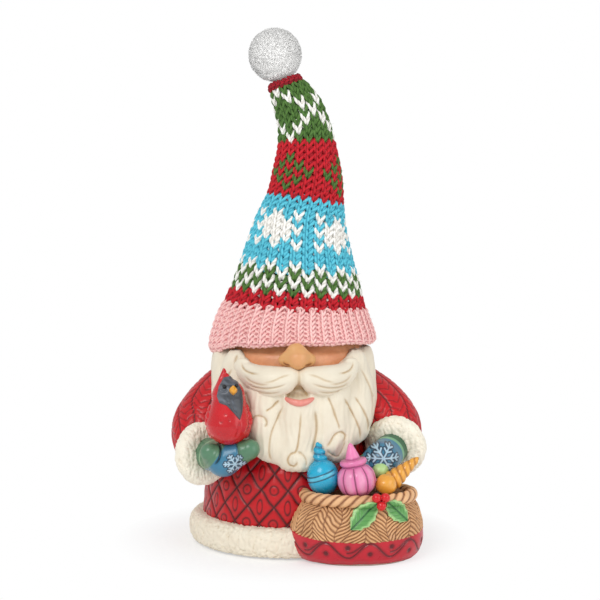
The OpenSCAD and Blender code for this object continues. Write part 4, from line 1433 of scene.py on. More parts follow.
def cuffs():
    paint = fur_paint("cuff_cream", (247, 241, 224), 0.36)
    for side, wrist, aim, seed in (("right", RIGHT_WRIST, RIGHT_AIM, 81), ("left", LEFT_WRIST, LEFT_AIM, 82)):
        middle = wrist + 0.5 * unit([wrist[0], 0, -40])
        across = unit(np.cross(aim, UP))
        verts, faces, marks = fur_ring(middle, aim, across, 8.8, (5.5, 4.8), 1.2, seed, power=2.4)
        on_figure(make_piece("cuff_" + side, verts, faces, paint, marks), side + "_cuff")


RIGHT_PALM = RIGHT_WRIST + [9, -18, 0]
RIGHT_TIP = RIGHT_WRIST + [20.4, -22.8, 5.3]
RIGHT_THUMB = RIGHT_WRIST + [2.8, -19, 3.5]
LEFT_PALM = LEFT_WRIST + [-8, -14, -4.2]
LEFT_TIP = LEFT_WRIST + [-14.3, -15, -6.6]
MITT_BLUE, MITT_GREEN, MITT_NAVY, FLAKE_PALE = (58, 124, 156), (86, 132, 100), (24, 38, 62), (176, 208, 226)


def snowflake(x, y, size):
    """How far a point is from a snowflake of six branched arms round (0, 0)."""
    r, a = np.hypot(x, y), np.arctan2(y, x)
    a = (a + TAU / 12) % (TAU / 6) - TAU / 12
    u, w = r * np.cos(a), np.abs(r * np.sin(a))
    arm = np.hypot(np.clip(-u, 0, None) + np.clip(u - size, 0, None), w)
    for place, long in ((0.45 * size, 0.3 * size), (0.75 * size, 0.26 * size)):
        t = np.clip(((u - place) * 0.6 + w * 0.8) / long, 0, 1)
        arm = np.minimum(arm, np.hypot(u - place - 0.6 * t * long, w - 0.8 * t * long))
    return arm


def painted(colours, shares):
    """Colours mixed by shares, each over what went before."""
    out = np.tile(linear(colours[0])[:3], (len(shares[0]), 1))
    for colour, share in zip(colours[1:], shares):
        share = np.clip(share, 0, 1)[:, None]
        out = out * (1 - share) + np.array(linear(colour)[:3]) * share
    return out


def flake_marks(shown, x, y, size):
    """A pale snowflake on a dark ground, where it is shown: the ground's share, and the flake's."""
    flake = snowflake(x, y, size)
    return smoothstep(1.0, 0.55, flake) * shown, smoothstep(0.42, 0.24, flake) * shown


def right_colours(v, _):
    thumb = smoothstep(-33.0, -33.8, v[:, 0] - 0.7 * (v[:, 2] - 51))
    fingers = smoothstep(-27.2, -26.6, v[:, 0] + 0.12 * (v[:, 2] - 48))
    away = np.linalg.norm(v - RIGHT_WRIST - [0, 0, 1], axis=1)
    rim = smoothstep(12.6, 12.2, away) * smoothstep(11.2, 11.6, away)
    ground, pale = flake_marks(v[:, 1] < -42, v[:, 0] + 28.4, (v[:, 2] - 44.2) * 1.1, 4.8)
    colours = [MITT_BLUE, MITT_GREEN, MITT_GREEN, (150, 190, 150), MITT_NAVY, FLAKE_PALE]
    return painted(colours, [fingers, thumb, rim, ground, pale])


def left_colours(v, _):
    fingers = smoothstep(29.6, 29.0, v[:, 0] - 0.2 * (v[:, 2] - 44))
    away = np.linalg.norm(v - LEFT_WRIST, axis=1)
    dark = smoothstep(11.0, 10.6, away)
    rim = smoothstep(10.6, 11.0, away) * smoothstep(12.4, 12.0, away)
    ground, pale = flake_marks(v[:, 1] < -34, (v[:, 0] - 38.0) * 0.9, v[:, 2] - 44.9, 6.4)
    colours = [MITT_BLUE, MITT_GREEN, (44, 98, 66), (120, 176, 132), MITT_NAVY, FLAKE_PALE]
    return painted(colours, [fingers, dark, rim, ground * (1 - dark), pale * (1 - dark)])


def mittens():
    finish = dict(paint="paint", ink=(18, 26, 40), wash_full=0.9, mottle=0.18)
    paint = resin("mitten_paint", MITT_BLUE, (20, 34, 40), 0.34, coat=0.45, **finish)
    clay = clay_for("right_mitten", 1.5, 0.3)
    clay.limb(RIGHT_WRIST + 2 * RIGHT_AIM, 7.2, RIGHT_PALM, 7.0, 1)
    clay.limb(RIGHT_PALM, 7.2, RIGHT_TIP, 4.5, 2.5)
    clay.limb(RIGHT_THUMB + [1.5, 3.5, -3.5], 4.3, RIGHT_THUMB, 4.3, 1.0)
    clay.groove([[-36.0, 54.8], [-34.6, 50.4], [-35.6, 46.0], [-38.6, 42.6]], 0.6, 1.1, behind=-36)
    clay.groove([[-28.8, 55.0], [-27.2, 51.0], [-26.4, 46.5], [-27.2, 42.0]], 0.5, 0.6, behind=-36)
    cast(clay, "mitten_right", "right_mitten", paint, 0.35, marks={"paint": right_colours})
    clay = clay_for("left_mitten", 1.5, 0.3)
    clay.limb(LEFT_WRIST + 2 * LEFT_AIM, 7.4, LEFT_PALM, 7.7, 1)
    clay.limb(LEFT_PALM, 8.0, LEFT_TIP, 5.6, 2.0)
    clay.groove([[30.4, 40.0], [32.2, 43.6], [33.0, 47.6], [32.0, 52.0]], 0.5, 0.5, behind=-34)
    cast(clay, "mitten_left", "left_mitten", paint, 0.35, marks={"paint": left_colours})


# --- Head and hair ---
HEAD_PROFILE = [
    [27, 71.6], [34.4, 78.4], [35.8, 84.1], [34.9, 90.0], [33.2, 92.3], [31.6, 98.5], [29.1, 111],
    [25.4, 118.3], [18.6, 125.2], [8.7, 129.7], [0.4, 130.4],
]
CHEEK_Z, CHEEK_ANGLE = 88.5, 0.42


def head():
    points, a = turned(HEAD_PROFILE, 0.9, 240)
    z = points[..., 2]
    soft = 0.25 * waves(points, 14, 71, 1) * smoothstep(112, 100, z)
    turns = (CHEEK_ANGLE, TAU - CHEEK_ANGLE)
    cheeks = sum(ridge(a - turn, 0.3)[None] * ridge(z - CHEEK_Z, 3) for turn in turns)
    shift = 0.2 * soft + 0.4 * cheeks - 0.2 * (z > 93)
    verts, faces = capped(points + grid_normals(points) * shift[..., None])
    on_figure(make_piece("head_skin", verts, faces, skin_paint()), "head")


# The hair's section: heights, and the radii of its inner and outer sides there.
HAIR_SECTION = (
    [59, 66, 72, 80, 88, 93], [30.5, 29.5, 29, 32, 33, 33.0], [35.0, 37.6, 38.4, 38.5, 38.2, 37.2],
)


def hair_ends(points):
    """A point at the middle of each end of the hair, and the faces that close the ends."""
    rows, columns = points.shape[:2]
    i = np.arange(rows)
    i2 = (i + 1) % rows
    n, last = rows * columns, columns - 1
    first_end = np.stack([np.full(rows, n), i * columns, i2 * columns], -1)
    last_end = np.stack([np.full(rows, n + 1), i2 * columns + last, i * columns + last], -1)
    return [points[:, 0].mean(axis=0), points[:, -1].mean(axis=0)], np.vstack([first_end, last_end])


def hair_back():
    """Hair that hangs from under the hat round the sides and back, combed into locks."""
    lo, hi = low("hair_back")[2], high("hair_back")[2]
    columns, rows = 460, 96
    a = np.linspace(math.radians(-8), math.radians(188), columns)[None]
    s = np.linspace(0, TAU, rows, endpoint=False)[:, None]
    z = (hi + lo) / 2 + ((hi - lo) / 2 - 0.5) * np.sign(np.sin(s)) * np.abs(np.sin(s)) ** 0.7
    inner, outer = (np.interp(z, HAIR_SECTION[0], radii) for radii in HAIR_SECTION[1:])
    flow = a * 24 + 1.4 * np.sin(z / 9 + 3 * a) + 0.5 * np.sin(z / 4 + 7 * a)
    groove = np.abs(np.sin(flow)) ** 0.55
    deep = 0.9 * (groove - 0.85) + 0.1 * np.cos(flow * 4 + 1.5 * np.sin(z / 6))
    span = a.max() - a.min()
    ends = smoothstep(0, 0.06, (a - a.min()) / span) * smoothstep(0, 0.06, (a.max() - a) / span)
    thick = (outer - inner) / 2 * np.cos(s) * (0.35 + 0.65 * np.sqrt(ends))
    r = (inner + outer) / 2 + thick + deep * ((np.cos(s) + 1) / 2 > 0.5)
    points = np.stack([r * np.cos(a), r * np.sin(a), z + 0 * a], -1)
    middles, tips = hair_ends(points)
    verts = np.vstack([points.reshape(-1, 3), *middles])
    faces = [grid_faces(rows, columns, wrap=False, closed=True, flip=True), tips]
    marks = {"hollow": end_marks(np.clip(1 - groove * 1.6, 0, 1))}
    piece = make_piece("hair_locks", verts, faces, bpy.data.materials["beard_cream"], marks)
    on_figure(piece, "hair_back")


robe()
hem()
sleeve("sleeve_right", "right_sleeve", RIGHT_ARM)
sleeve("sleeve_left", "left_sleeve", LEFT_ARM)
cuffs()
mittens()
head()
hair_back()


# --- Bird ---
BIRD_AT = low("cardinal_body") + [10.07, 10.07, 9.84]
BIRD_HEAD = BIRD_AT + [0.3, -1.6, 12.6]
# The mask's outline round the bird's face, as (x, z) seen from the front.
MASK_EDGE = [
    [-33.1, 82.4], [-35.4, 78.6], [-36.3, 74.6], [-35.2, 71.6], [-32.0, 70.6], [-29.0, 67.4], [-26.2, 64.1],
    [-25.0, 67.5], [-24.6, 72.0], [-25.1, 76.5], [-27.2, 81.0], [-30.0, 82.8], [-33.1, 82.4],
]
SCARLET = (204, 14, 28)
BREAST_FEATHERS = ((0, 0), (1.6, -2.6), (-1.8, -3.4), (3.6, -6.0), (-2.6, -8.0))


def inside_outline(x, z, outline):
    """Signed distance to a closed outline of (x, z) points: below 0 is inside."""
    line = np.asarray(outline, float)
    gap, _ = off_path(x, z, line)
    inside = np.zeros(x.shape, bool)
    for (x0, z0), (x1, z1) in zip(line[:-1], line[1:]):
        crosses = (z0 > z) != (z1 > z)
        level = 1e-9 if z1 == z0 else z1 - z0
        inside ^= crosses & (x < x0 + (z - z0) / level * (x1 - x0))
    return np.where(inside, -gap, gap)


def bird_clay(node, above, cell):
    """The bird's whole shape, in a block about one of its nodes."""
    clay = Clay(low(node) - 1.5, high(node) + [1.5, 1.5, 1.5 + above], cell)
    clay.limb(BIRD_AT, 10.1, BIRD_HEAD + [0, 0.4, -0.6], 6.9, 2)
    clay.limb(BIRD_HEAD + [-1.5, 0.8, 0.6], 6.3, [-33.0, -44, 85.4], 0.7, 1.2)
    clay.limb(BIRD_AT + [-1, 3, -2], 6.0, BIRD_AT + [-4, 9.5, -7], 2.2, 2)
    return clay


def bird_body():
    clay = bird_clay("cardinal_body", 0, 0.3)
    clay.groove([[-24.4, 71.5], [-22.4, 67.5], [-22.2, 61.5], [-24.4, 55.5]], 0.5, 0.6, behind=-43)
    clay.groove([[-26.2, 64.0], [-26.8, 60.5], [-28.4, 55.5]], 0.5, 0.4, behind=-48)
    clay.groove([[-30.4, 86.4], [-31.4, 84.4], [-33.6, 82.4], [-35.0, 79.6]], 0.4, 0.45)
    for dx, dz in BREAST_FEATHERS:
        feather = [[-33.4 + dx, 67.6 + dz], [-32.6 + dx, 66.6 + dz], [-31.6 + dx, 67.4 + dz]]
        clay.groove(feather, 0.35, 0.3, behind=-50)
    paint = resin("bird_scarlet", SCARLET, (70, 4, 10), 0.26, coat=0.45, mottle=0.25, wash_full=0.9)
    cast(clay, "bird_body", "cardinal_body", paint, 0.3, reach=1.2, shallow=0.04)


WING_EDGE = [[-36.9, 70.2], [-36.0, 66.6], [-35.9, 62.0], [-37.0, 57.6], [-38.6, 54.6]]


def off_wing_edge(v):
    """How far a point on the right wing is from the wing's front edge, seen from the front."""
    line = curve_through(WING_EDGE, 8)
    return np.hypot(v[:, :1] - line[:, 0], v[:, 2:] - line[:, 1]).min(axis=1)


def bird_wings():
    clay = clay_for("cardinal_wings", 1.5, 0.3)
    for side in (-1, 1):
        balls = [[6.6, -44.2, 68.0, 2.6], [7.4, -44.4, 62.5, 3.1], [6.8, -43.6, 56.8, 2.2]]
        clay.strand([[BIRD_AT[0] + side * out, *rest] for out, *rest in balls], 1.5, 5)
    clay.groove(WING_EDGE, 0.5, 0.6)
    for z in (67.0, 63.4, 59.8):
        clay.groove([[-41.6, z + 1.4], [-40.0, z], [-38.4, z + 1.0]], 0.4, 0.5)
        clay.groove([[-20.6, z + 1.4], [-22.0, z], [-23.4, z + 1.0]], 0.4, 0.5)

    def rim(v, _):
        # Painted highlight: a pale pink line along the front edge of the right wing.
        light = 0.85 * ridge(off_wing_edge(v) - 0.95, 0.35) * (v[:, 0] < -36)
        return painted([SCARLET, (246, 168, 160)], [light])

    paint = resin("wing_scarlet", SCARLET, (60, 4, 10), 0.28, paint="paint", coat=0.45, wash_full=0.95)
    cast(clay, "bird_wings", "cardinal_wings", paint, 0.3, marks={"paint": rim}, reach=1.2)


MASK_GREY = (58, 62, 68)
# Brush-like grooves in the mask: width, depth and path.
MASK_GROOVES = [
    (0.4, 0.4, [[-35.0, 77.4], [-33.0, 76.6], [-31.2, 77.8]]),
    (0.4, 0.35, [[-29.8, 81.6], [-27.4, 81.2], [-26.0, 79.4]]),
    (0.4, 0.4, [[-30.4, 74.2], [-29.4, 70.6], [-27.4, 66.5]]),
    (0.35, 0.35, [[-33.6, 74.0], [-32.0, 72.4], [-30.6, 71.6]]),
]


def bird_mask():
    """A thin shell over the bird's face, with its two eyes."""
    clay = bird_clay("cardinal_mask", 3, 0.25)
    solid = clay.d - 0.45
    cut, p = clay.part(low("cardinal_mask") - 3, high("cardinal_mask") + 6)
    edge = inside_outline(p[..., 0], p[..., 2], MASK_EDGE).astype(np.float32)
    clay.d[cut] = -smooth_least(-solid[cut], -edge, 0.5)
    clay.d = np.maximum(clay.d, clay.axis(1)[None, :, None] + 43.0)
    clay.d = np.maximum(clay.d, -(solid + 1.5))
    eyes = [BIRD_HEAD + [-2.3, -5.6, 4.2], BIRD_HEAD + [3.1, -6.0, 4.6]]
    for eye in eyes:
        clay.ball(eye, 0.9, 0.4)
    for wide, deep, path in MASK_GROOVES:
        clay.groove(path, wide, deep)

    def colours(v, out):
        # Painted highlight: the grey is painted lighter, in random streaks, where the mask faces up and
        # towards the key lamp.
        light = smoothstep(0.1, 0.9, out @ unit([-0.5, -0.5, 0.7])) * 0.6 * (0.6 + 0.4 * waves(v, 3, 91))
        eye = sum(smoothstep(1.25, 1.0, np.linalg.norm(v - e, axis=1)) for e in eyes)
        return painted([MASK_GREY, (124, 132, 144), (12, 12, 16)], [light, eye])

    paint = resin("mask_grey", MASK_GREY, (12, 14, 18), 0.34, paint="paint", coat=0.3, wash_full=0.9)
    cast(clay, "bird_mask", "cardinal_mask", paint, 0.3, marks={"paint": colours}, reach=1.2)


BEAK_POWER = 1.15


def bird_beak():
    """A short cone with a section near a diamond, and a slit between its two halves."""
    tip, base = BIRD_HEAD + [1.8, -11.8, 2.2], BIRD_HEAD + [1.6, -6.8, 2.6]
    a = np.linspace(0, TAU, 32, endpoint=False)[None]
    t = np.linspace(0, 1, 16)[:, None]
    diamond = 1 / (np.abs(np.cos(a)) ** BEAK_POWER + np.abs(np.sin(a)) ** BEAK_POWER) ** (1 / BEAK_POWER)
    slit = 0.3 * ridge(np.sin(a), 0.16) * (1 - t)
    r = 2.15 * (1 - 0.93 * t**BEAK_POWER) * diamond - slit
    section = np.stack([-r * np.cos(a), 0 * r, r * 1.05 * np.sin(a)], -1)
    verts, faces = capped(base + (tip - base) * t[..., None] + section)
    paint = resin("beak_orange", (244, 170, 40), (120, 60, 8), 0.35, coat=0.45, mottle=0.3)
    marks = {"hollow": end_marks(3 * slit)}
    on_figure(make_piece("bird_beak", verts, faces, paint, marks), "cardinal_beak")


# --- Basket ---
ROPE_R = (high("basket_rope")[2] - low("basket_rope")[2]) / 2
ROPE_Z = centre("basket_rope")[2] + 0.9
# Half the width and depth of the mouth, and of the belly.
MOUTH_HALF = (23.9, 16.6)
BASKET_AT = np.array([centre("basket_rope")[0], low("basket_rope")[1] + MOUTH_HALF[1] + ROPE_R, 0.0])
BASKET_HALF = (high("basket_foot")[0] - BASKET_AT[0], BASKET_AT[1] - low("basket_foot")[1])
# The basket's side: how far outside the belly's half width, and the height.
BASKET_PROFILE = [
    [-4.3, 0.9], [-1.9, 3.4], [-0.4, 7.1], [0, 10.9], [-0.5, 15.9], [-1.7, 20.6], [-3.4, 23.9], [-5.0, 26.4],
]
BASKET_FOOT_Z, BASKET_LIP_Z = 0.9, 26.4
# The top of the red foot: y, and the height there.
FOOT_TOP = [[-63.0, 11.4], [-42.0, 14.0], [-21.0, 16.6]]


def basket_middle(z):
    """The basket's belly stands a little to the gnome's right of its mouth."""
    return BASKET_AT[0] - 0.9 * smoothstep(25, 13, z)


def oval_front(x, middle, half, off):
    """y of the front at x of an oval about the basket's middle, a little larger all round."""
    across = np.clip((x - middle) / (half[0] + off), -0.98, 0.98)
    return BASKET_AT[1] - (half[1] + off) * np.sqrt(1 - across**2)


def basket_front(x, z):
    """y of the front of the basket at x and height z."""
    line, _ = resampled(BASKET_PROFILE, 0.5)
    return oval_front(x, basket_middle(z), BASKET_HALF, np.interp(z, line[:, 1], line[:, 0]))


def rope_front(x, z):
    """y of the front of the rope at x and height z."""
    return oval_front(x, BASKET_AT[0], MOUTH_HALF, np.sqrt(np.clip(ROPE_R**2 - (z - ROPE_Z) ** 2, 0, None)))


def foot_edge(y):
    return np.interp(y, *np.array(FOOT_TOP).T)


def round_oval(half, columns, fine):
    """Places evenly spaced round an oval: how far along each is, its angle, and the whole way round."""
    t = np.linspace(0, TAU, fine)
    length = length_along(np.stack([half[0] * np.cos(t), half[1] * np.sin(t)], -1))
    around = np.linspace(0, length[-1], columns, endpoint=False)
    return around, np.interp(around, length, t), length[-1]


def basket_part(columns, rows, low_edge, high_edge):
    """A band of the basket's surface between two edges given as heights for each y."""
    line, along = resampled(BASKET_PROFILE, 0.1)
    around, a, _ = round_oval(BASKET_HALF, columns, 2001)
    y0 = BASKET_AT[1] + BASKET_HALF[1] * np.sin(a)
    s0, s1 = (np.interp(edge(y0), line[:, 1], along) for edge in (low_edge, high_edge))
    s = s0 + (s1 - s0) * np.linspace(0, 1, rows)[:, None]
    off, z = np.interp(s, along, line[:, 0]), np.interp(s, along, line[:, 1])
    x = basket_middle(z) + (BASKET_HALF[0] + off) * np.cos(a)
    y = BASKET_AT[1] + (BASKET_HALF[1] + off) * np.sin(a)
    return np.stack([x, y, z], -1), around[None] + 0 * s, s


# The weave's panels: their width, how far their edges lean, and how far apart their strokes are.
PANEL_WIDE, PANEL_LEAN, STROKE = 11.6, 0.34, 1.5
WEAVE_TALL = 19.0


def other_way(number):
    """1 for even numbers and -1 for odd ones."""
    return np.where(number % 2 == 0, 1, -1)


def herringbone(u, v):
    """Relief and crevices of leaf-like panels of slanted strokes."""
    k = np.round(u / PANEL_WIDE)
    left, right = np.full(u.shape, 1e9), np.full(u.shape, 1e9)
    number = np.zeros(u.shape)
    for n in (k - 1, k, k + 1):
        gap = u - (n * PANEL_WIDE + other_way(n) * PANEL_LEAN * (v - WEAVE_TALL / 2))
        closer = (gap >= 0) & (gap < left)
        left, number = np.where(closer, gap, left), np.where(closer, n, number)
        right = np.where((gap < 0) & (-gap < right), -gap, right)
    edge, vein = np.minimum(left, right), (left - right) / 2
    way = other_way(number)
    bend = 0.16 * np.sin(u * 1.1 + number) + 0.1 * np.sin(v * 1.3 + 2 * number)
    stroke = off_line((0.78 * v + way * 0.62 * np.abs(vein) + bend) / STROKE) * 2
    relief = 1.2 - smoothstep(0.2, 1.0, stroke)
    crease = 0.25 + 0.75 * np.clip(np.minimum(edge / 0.6, np.abs(vein) / 0.45), 0, 1)
    height = relief * crease
    return height, np.clip(0.95 - 0.9 * height, 0, 1)


# The filling under the ornaments: its level, and its rings as shares of the mouth.
FILL_Z = 29.3
FILL_RINGS = (1.0, 0.97, 0.9, 0.75, 0.5, 0.25, 0.03)


def basket_weave():
    columns = 900
    points, u, v = basket_part(columns, 124, foot_edge, lambda y: BASKET_LIP_Z + 0 * y)
    height, crease = herringbone(u + 1.2 * np.sin(v * 0.35 + u * 0.2), v - 9.0)
    shift = 0.62 * height - 0.6 + 0.15 * waves(points, 8, 95, 1)
    points = points + grid_normals(points) * shift[..., None]
    fill = []
    for share in FILL_RINGS:
        ring = BASKET_AT + (points[-1] - BASKET_AT) * [share, share, 0]
        ring[:, 2] = FILL_Z if share < 1 else FILL_Z - 1.1
        fill.append(ring + UP * 0.25 * waves(ring, 3, 96)[:, None] * (share < 0.95))
    verts, faces = capped(np.vstack([points, fill]))
    # The filling is painted darker all over, as if deep in a hollow: painted shade under the ornaments and
    # inside the rim.
    marks = {"hollow": end_marks(np.vstack([crease, np.full((len(fill), columns), 0.75)]))}
    paint = resin("weave_tan", (226, 176, 126), (116, 64, 30), 0.42, coat=0.2, mottle=0.35, wash_full=0.95)
    on_figure(make_piece("basket_weave_relief", verts, faces, paint, marks), "basket_weave")


def running_wave(u, v):
    """How far a point is from a running wave and from the dots in its bends."""
    long, tall = 20.0, 3.4
    wave = tall * np.sin(TAU * u / long)
    slope = tall * TAU / long * np.cos(TAU * u / long)
    line = np.abs(v - wave) / np.sqrt(1 + slope**2)
    second = np.abs(v - wave * 0.72 - 1.5) / np.sqrt(1 + slope**2)
    second = np.where(np.cos(TAU * u / long) > -0.2, second, 9)
    k = np.round((u / long - 0.25) * 2)
    x = u - (k / 2 + 0.25) * long
    y = v - np.where(k % 2 == 0, -1.0, 1.0) * 1.5
    dots = np.maximum(0, np.hypot(x, y) - 0.7)
    return np.minimum(line, np.minimum(second + 0.12, dots))


def basket_foot():
    points, u, v = basket_part(640, 84, lambda y: BASKET_FOOT_Z + 0 * y, foot_edge)
    line = running_wave(u, v - 8.0)
    cut = ridge(line, 0.42)
    shift = -0.4 * cut + 0.12 * waves(points, 9, 97, 1)
    verts, faces = capped(points + grid_normals(points) * shift[..., None])
    marks = {"ink": end_marks(0.95 * cut), "hollow": end_marks(0.5 * ridge(line, 1.1))}
    paint = resin("foot_red", (198, 20, 42), (96, 6, 18), 0.3, coat=0.35, mottle=0.25, ink=(92, 6, 20))
    on_figure(make_piece("basket_foot_painted", verts, faces, paint, marks), "basket_foot")


# The rope's strands, and how many times each goes round it.
STRANDS, LAYS = 3, 10


def basket_rope():
    """Strands laid together round the mouth."""
    columns, sides = 620, 40
    around, a, whole = round_oval(MOUTH_HALF, columns, 4001)
    around, a = around[:, None], a[:, None]
    out = unit(np.stack([MOUTH_HALF[1] * np.cos(a), MOUTH_HALF[0] * np.sin(a), 0 * a], -1))
    phi = np.linspace(0, TAU, sides, endpoint=False)[None]
    turn = STRANDS * phi - TAU * STRANDS * LAYS * around / whole
    lobe = np.abs(np.cos(turn / 2)) ** 0.75
    fibre = np.cos(turn * 3.5)
    r = ROPE_R * (0.76 + 0.24 * lobe) + 0.05 * fibre
    middle = np.stack([MOUTH_HALF[0] * np.cos(a), MOUTH_HALF[1] * np.sin(a), 0 * a + ROPE_Z], -1) + BASKET_AT
    points = middle + out * (r * np.cos(phi))[..., None] + UP * (r * np.sin(phi))[..., None]
    faces = [grid_faces(columns, sides, closed=True, flip=True)]
    marks = {"hollow": np.clip(1.35 - 1.6 * lobe + 0.08 * fibre, 0, 1).ravel()}
    paint = resin("rope_tan", (242, 192, 142), (122, 66, 30), 0.45, coat=0.2, mottle=0.3, wash_full=0.9)
    piece = make_piece("basket_rope_laid", points.reshape(-1, 3), faces, paint, marks)
    on_figure(piece, "basket_rope")


# --- Holly ---
# Each leaf's middle x and z, length, width, and turn in degrees.
LEAVES = [[27.3, 23.0, 16.4, 9.6, 43.5], [42.4, 24.2, 13.2, 8.4, 136.0]]
# A leaf's half width along it, from its stem to its tip, as shares.
LEAF_EDGE = [
    [-1.0, 0.04], [-0.78, 0.40], [-0.6, 0.74], [-0.46, 0.70], [-0.2, 1.0], [0.0, 0.90], [0.28, 1.0],
    [0.46, 0.78], [0.66, 0.72], [0.84, 0.40], [1.0, 0.06],
]
LEAF_GRID = (64, 44)
BERRIES = ([32.8, -61.2, 30.7], [36.6, -61.1, 30.8], [34.8, -61.7, 27.4])


def leaf_faces():
    """Faces of a leaf's front, back and rim; the back's points come after the front's."""
    n, m = LEAF_GRID
    front = grid_faces(n, m, wrap=False)
    sides = [np.arange(m), np.arange(1, n) * m + m - 1]
    sides += [(n - 1) * m + np.arange(m - 2, -1, -1), np.arange(n - 2, 0, -1) * m]
    rim = np.concatenate(sides)
    beside = np.roll(rim, -1)
    wall = np.stack([rim, beside, beside + n * m, rim + n * m], -1)
    return np.vstack([front, front[:, ::-1] + n * m, wall])


def leaf_shape(x0, z0, long, wide, turn):
    """Points of one leaf laid against the basket and its rope, and how deep its veins are."""
    u = np.linspace(-1, 1, LEAF_GRID[0])[:, None]
    v = np.linspace(-1, 1, LEAF_GRID[1])[None]
    x, y = u * long / 2 + 0 * v, v * (np.interp(u, *np.array(LEAF_EDGE).T) * wide / 2)
    side_vein = off_line((u - 0.55 * np.abs(v) + 1) * 3.0) / 3.0 * long / 2
    vein = np.minimum(np.abs(y) / 0.9, side_vein + 0.35)
    groove = ridge(vein, 0.42) * (np.abs(v) < 0.9)
    dome = np.sqrt(np.clip(1 - np.abs(v) ** 6, 0, 1)) * (0.75 + 0.35 * np.abs(v) ** 2)
    thick = np.maximum(dome - 0.4 * groove + 0.1, 0.12)
    c, s = math.cos(math.radians(turn)), math.sin(math.radians(turn))
    across, up = x0 + x * c - y * s, z0 + x * s + y * c
    face = smooth_least(basket_front(across, up), rope_front(across, up), 1.2)
    sides = [np.stack([across, depth, up], -1).reshape(-1, 3) for depth in (face - 0.35 - thick, face + 0.5)]
    return np.vstack(sides), np.concatenate([groove.ravel(), 0 * groove.ravel()])


def holly():
    finish = dict(paint="paint", wash_full=0.9, mottle=0.15)
    paint = resin("leaf_green", (120, 190, 110), (24, 84, 44), 0.34, coat=0.4, **finish)
    verts, hollow = zip(*(leaf_shape(*leaf) for leaf in LEAVES))
    faces = [np.vstack([leaf_faces() + k * len(v) for k, v in enumerate(verts)])]
    edge = smoothstep(0.55, 0.95, np.abs(np.linspace(-1, 1, LEAF_GRID[1])))
    pale = painted([(96, 160, 84), (176, 220, 146)], [np.tile(edge, LEAF_GRID[0] * 2 * len(LEAVES))])
    marks = {"paint": pale, "hollow": np.concatenate(hollow)}
    leaves = make_piece("holly_leaf_pair", np.vstack(verts), faces, paint, marks)
    on_figure(leaves, "holly_leaves")
    clay = clay_for("holly_berries", 1.5, 0.22)
    for berry in BERRIES:
        clay.ball(berry, 2.1, 0.25)
    paint = resin("berry_red", (216, 14, 26), (80, 4, 10), 0.24, coat=0.4, mottle=0.2)
    cast(clay, "holly_berry_trio", "holly_berries", paint, 0.3, reach=0.9)


# --- Ornaments ---
SPUN_STEP, SPUN_COLUMNS = 0.22, 150


def spun(name, node, paint, place, axis, profile, relief, marks=None):
    """A turned piece about its own axis; relief gives how far its skin moves out at each angle and
    height, and marks the marks for its paint."""
    line, _ = resampled(profile, SPUN_STEP)
    a = np.linspace(0, TAU, SPUN_COLUMNS, endpoint=False)[None]
    r, z = line[:, :1], line[:, 1:]
    r = np.maximum(r + relief(a, z), 0.05)
    axis = unit(axis)
    right = unit(np.cross(FRONT, axis))
    points = place + np.cross(axis, right) * (r * np.cos(a))[..., None] + right * (r * np.sin(a))[..., None]
    verts, faces = capped(points + axis * (z + 0 * a)[..., None])
    made = {}
    for key, make in (marks or {}).items():
        values = make(a, z)
        if key == "paint":
            made[key] = np.vstack([values, values[[0, -1]]])
        else:
            made[key] = end_marks(values + 0 * a * z)
    on_figure(make_piece(name, verts, faces, paint, made), node)


def leaning(degrees):
    a = math.radians(degrees)
    return [math.sin(a), 0.0, math.cos(a)]


# Profiles of the two large ornaments: radius, and height from the middle of the ball.
BLUE_PROFILE = [
    [3.0, -7.6], [4.8, -6.2], [6.6, -3.2], [7.05, 0.2], [6.5, 3.4], [5.0, 5.8], [3.3, 7.2], [2.9, 8.6],
    [2.6, 10.8], [2.0, 12.8], [1.3, 14.6], [0.3, 15.7],
]
PINK_PROFILE = [
    [4.6, -6.6], [7.2, -4.0], [8.25, -0.4], [7.9, 3.0], [6.5, 5.4], [5.1, 6.9], [5.75, 7.5], [6.1, 8.5],
    [5.5, 9.5], [4.0, 9.9], [3.3, 10.3], [2.6, 12.2], [1.75, 14.4], [1.0, 16.2], [0.3, 16.9],
]
BLUE, PINK = (20, 170, 208), (236, 132, 182)


def blue_thread(a, z):
    """The screw-like turns of the drop's tip."""
    return 0.3 * np.cos(a - TAU * z / 3.0) * smoothstep(6.4, 8.2, z) * smoothstep(16.4, 14.8, z)


def blue_band(a, z):
    """Height over a slanting band, and where it shows: from right of the front round to the side."""
    return z + 1.3 * np.sin(a), smoothstep(-0.2, 0.1, np.cos(a - 0.75))


def blue_lines(a, z):
    tilt, shown = blue_band(a, z)
    return np.clip((ridge(tilt - 2.2, 0.3) + ridge(tilt - 0.1, 0.3)) * shown, 0, 1)


def blue_colours(a, z):
    tilt, shown = blue_band(a, z)
    pale = smoothstep(1.1, 0.7, np.abs(tilt - 1.15)) * shown * 0.5
    # Painted shade: the drop is painted darker towards its bottom.
    foot = smoothstep(0, -7, z) * 0.7 + 0 * a
    return painted([BLUE, (10, 112, 148), (110, 206, 226)], [foot.ravel(), pale.ravel()])


def blue_ornament():
    def relief(a, z):
        return blue_thread(a, z) - 0.25 * blue_lines(a, z)

    marks = {
        "ink": lambda a, z: 0.95 * blue_lines(a, z),
        "paint": blue_colours,
        "hollow": lambda a, z: np.clip(-2.4 * blue_thread(a, z), 0, 1),
    }
    finish = dict(paint="paint", ink=(8, 34, 54), mottle=0.25)
    paint = resin("ornament_blue", BLUE, (6, 60, 96), 0.25, coat=0.6, **finish)
    place = low("blue_ornament") + [7.6, 7.0, 7.85]
    spun("blue_drop", "blue_ornament", paint, place, leaning(-9), BLUE_PROFILE, relief, marks)


SEGMENTS, SEGMENT_TURN = 9, 0.16


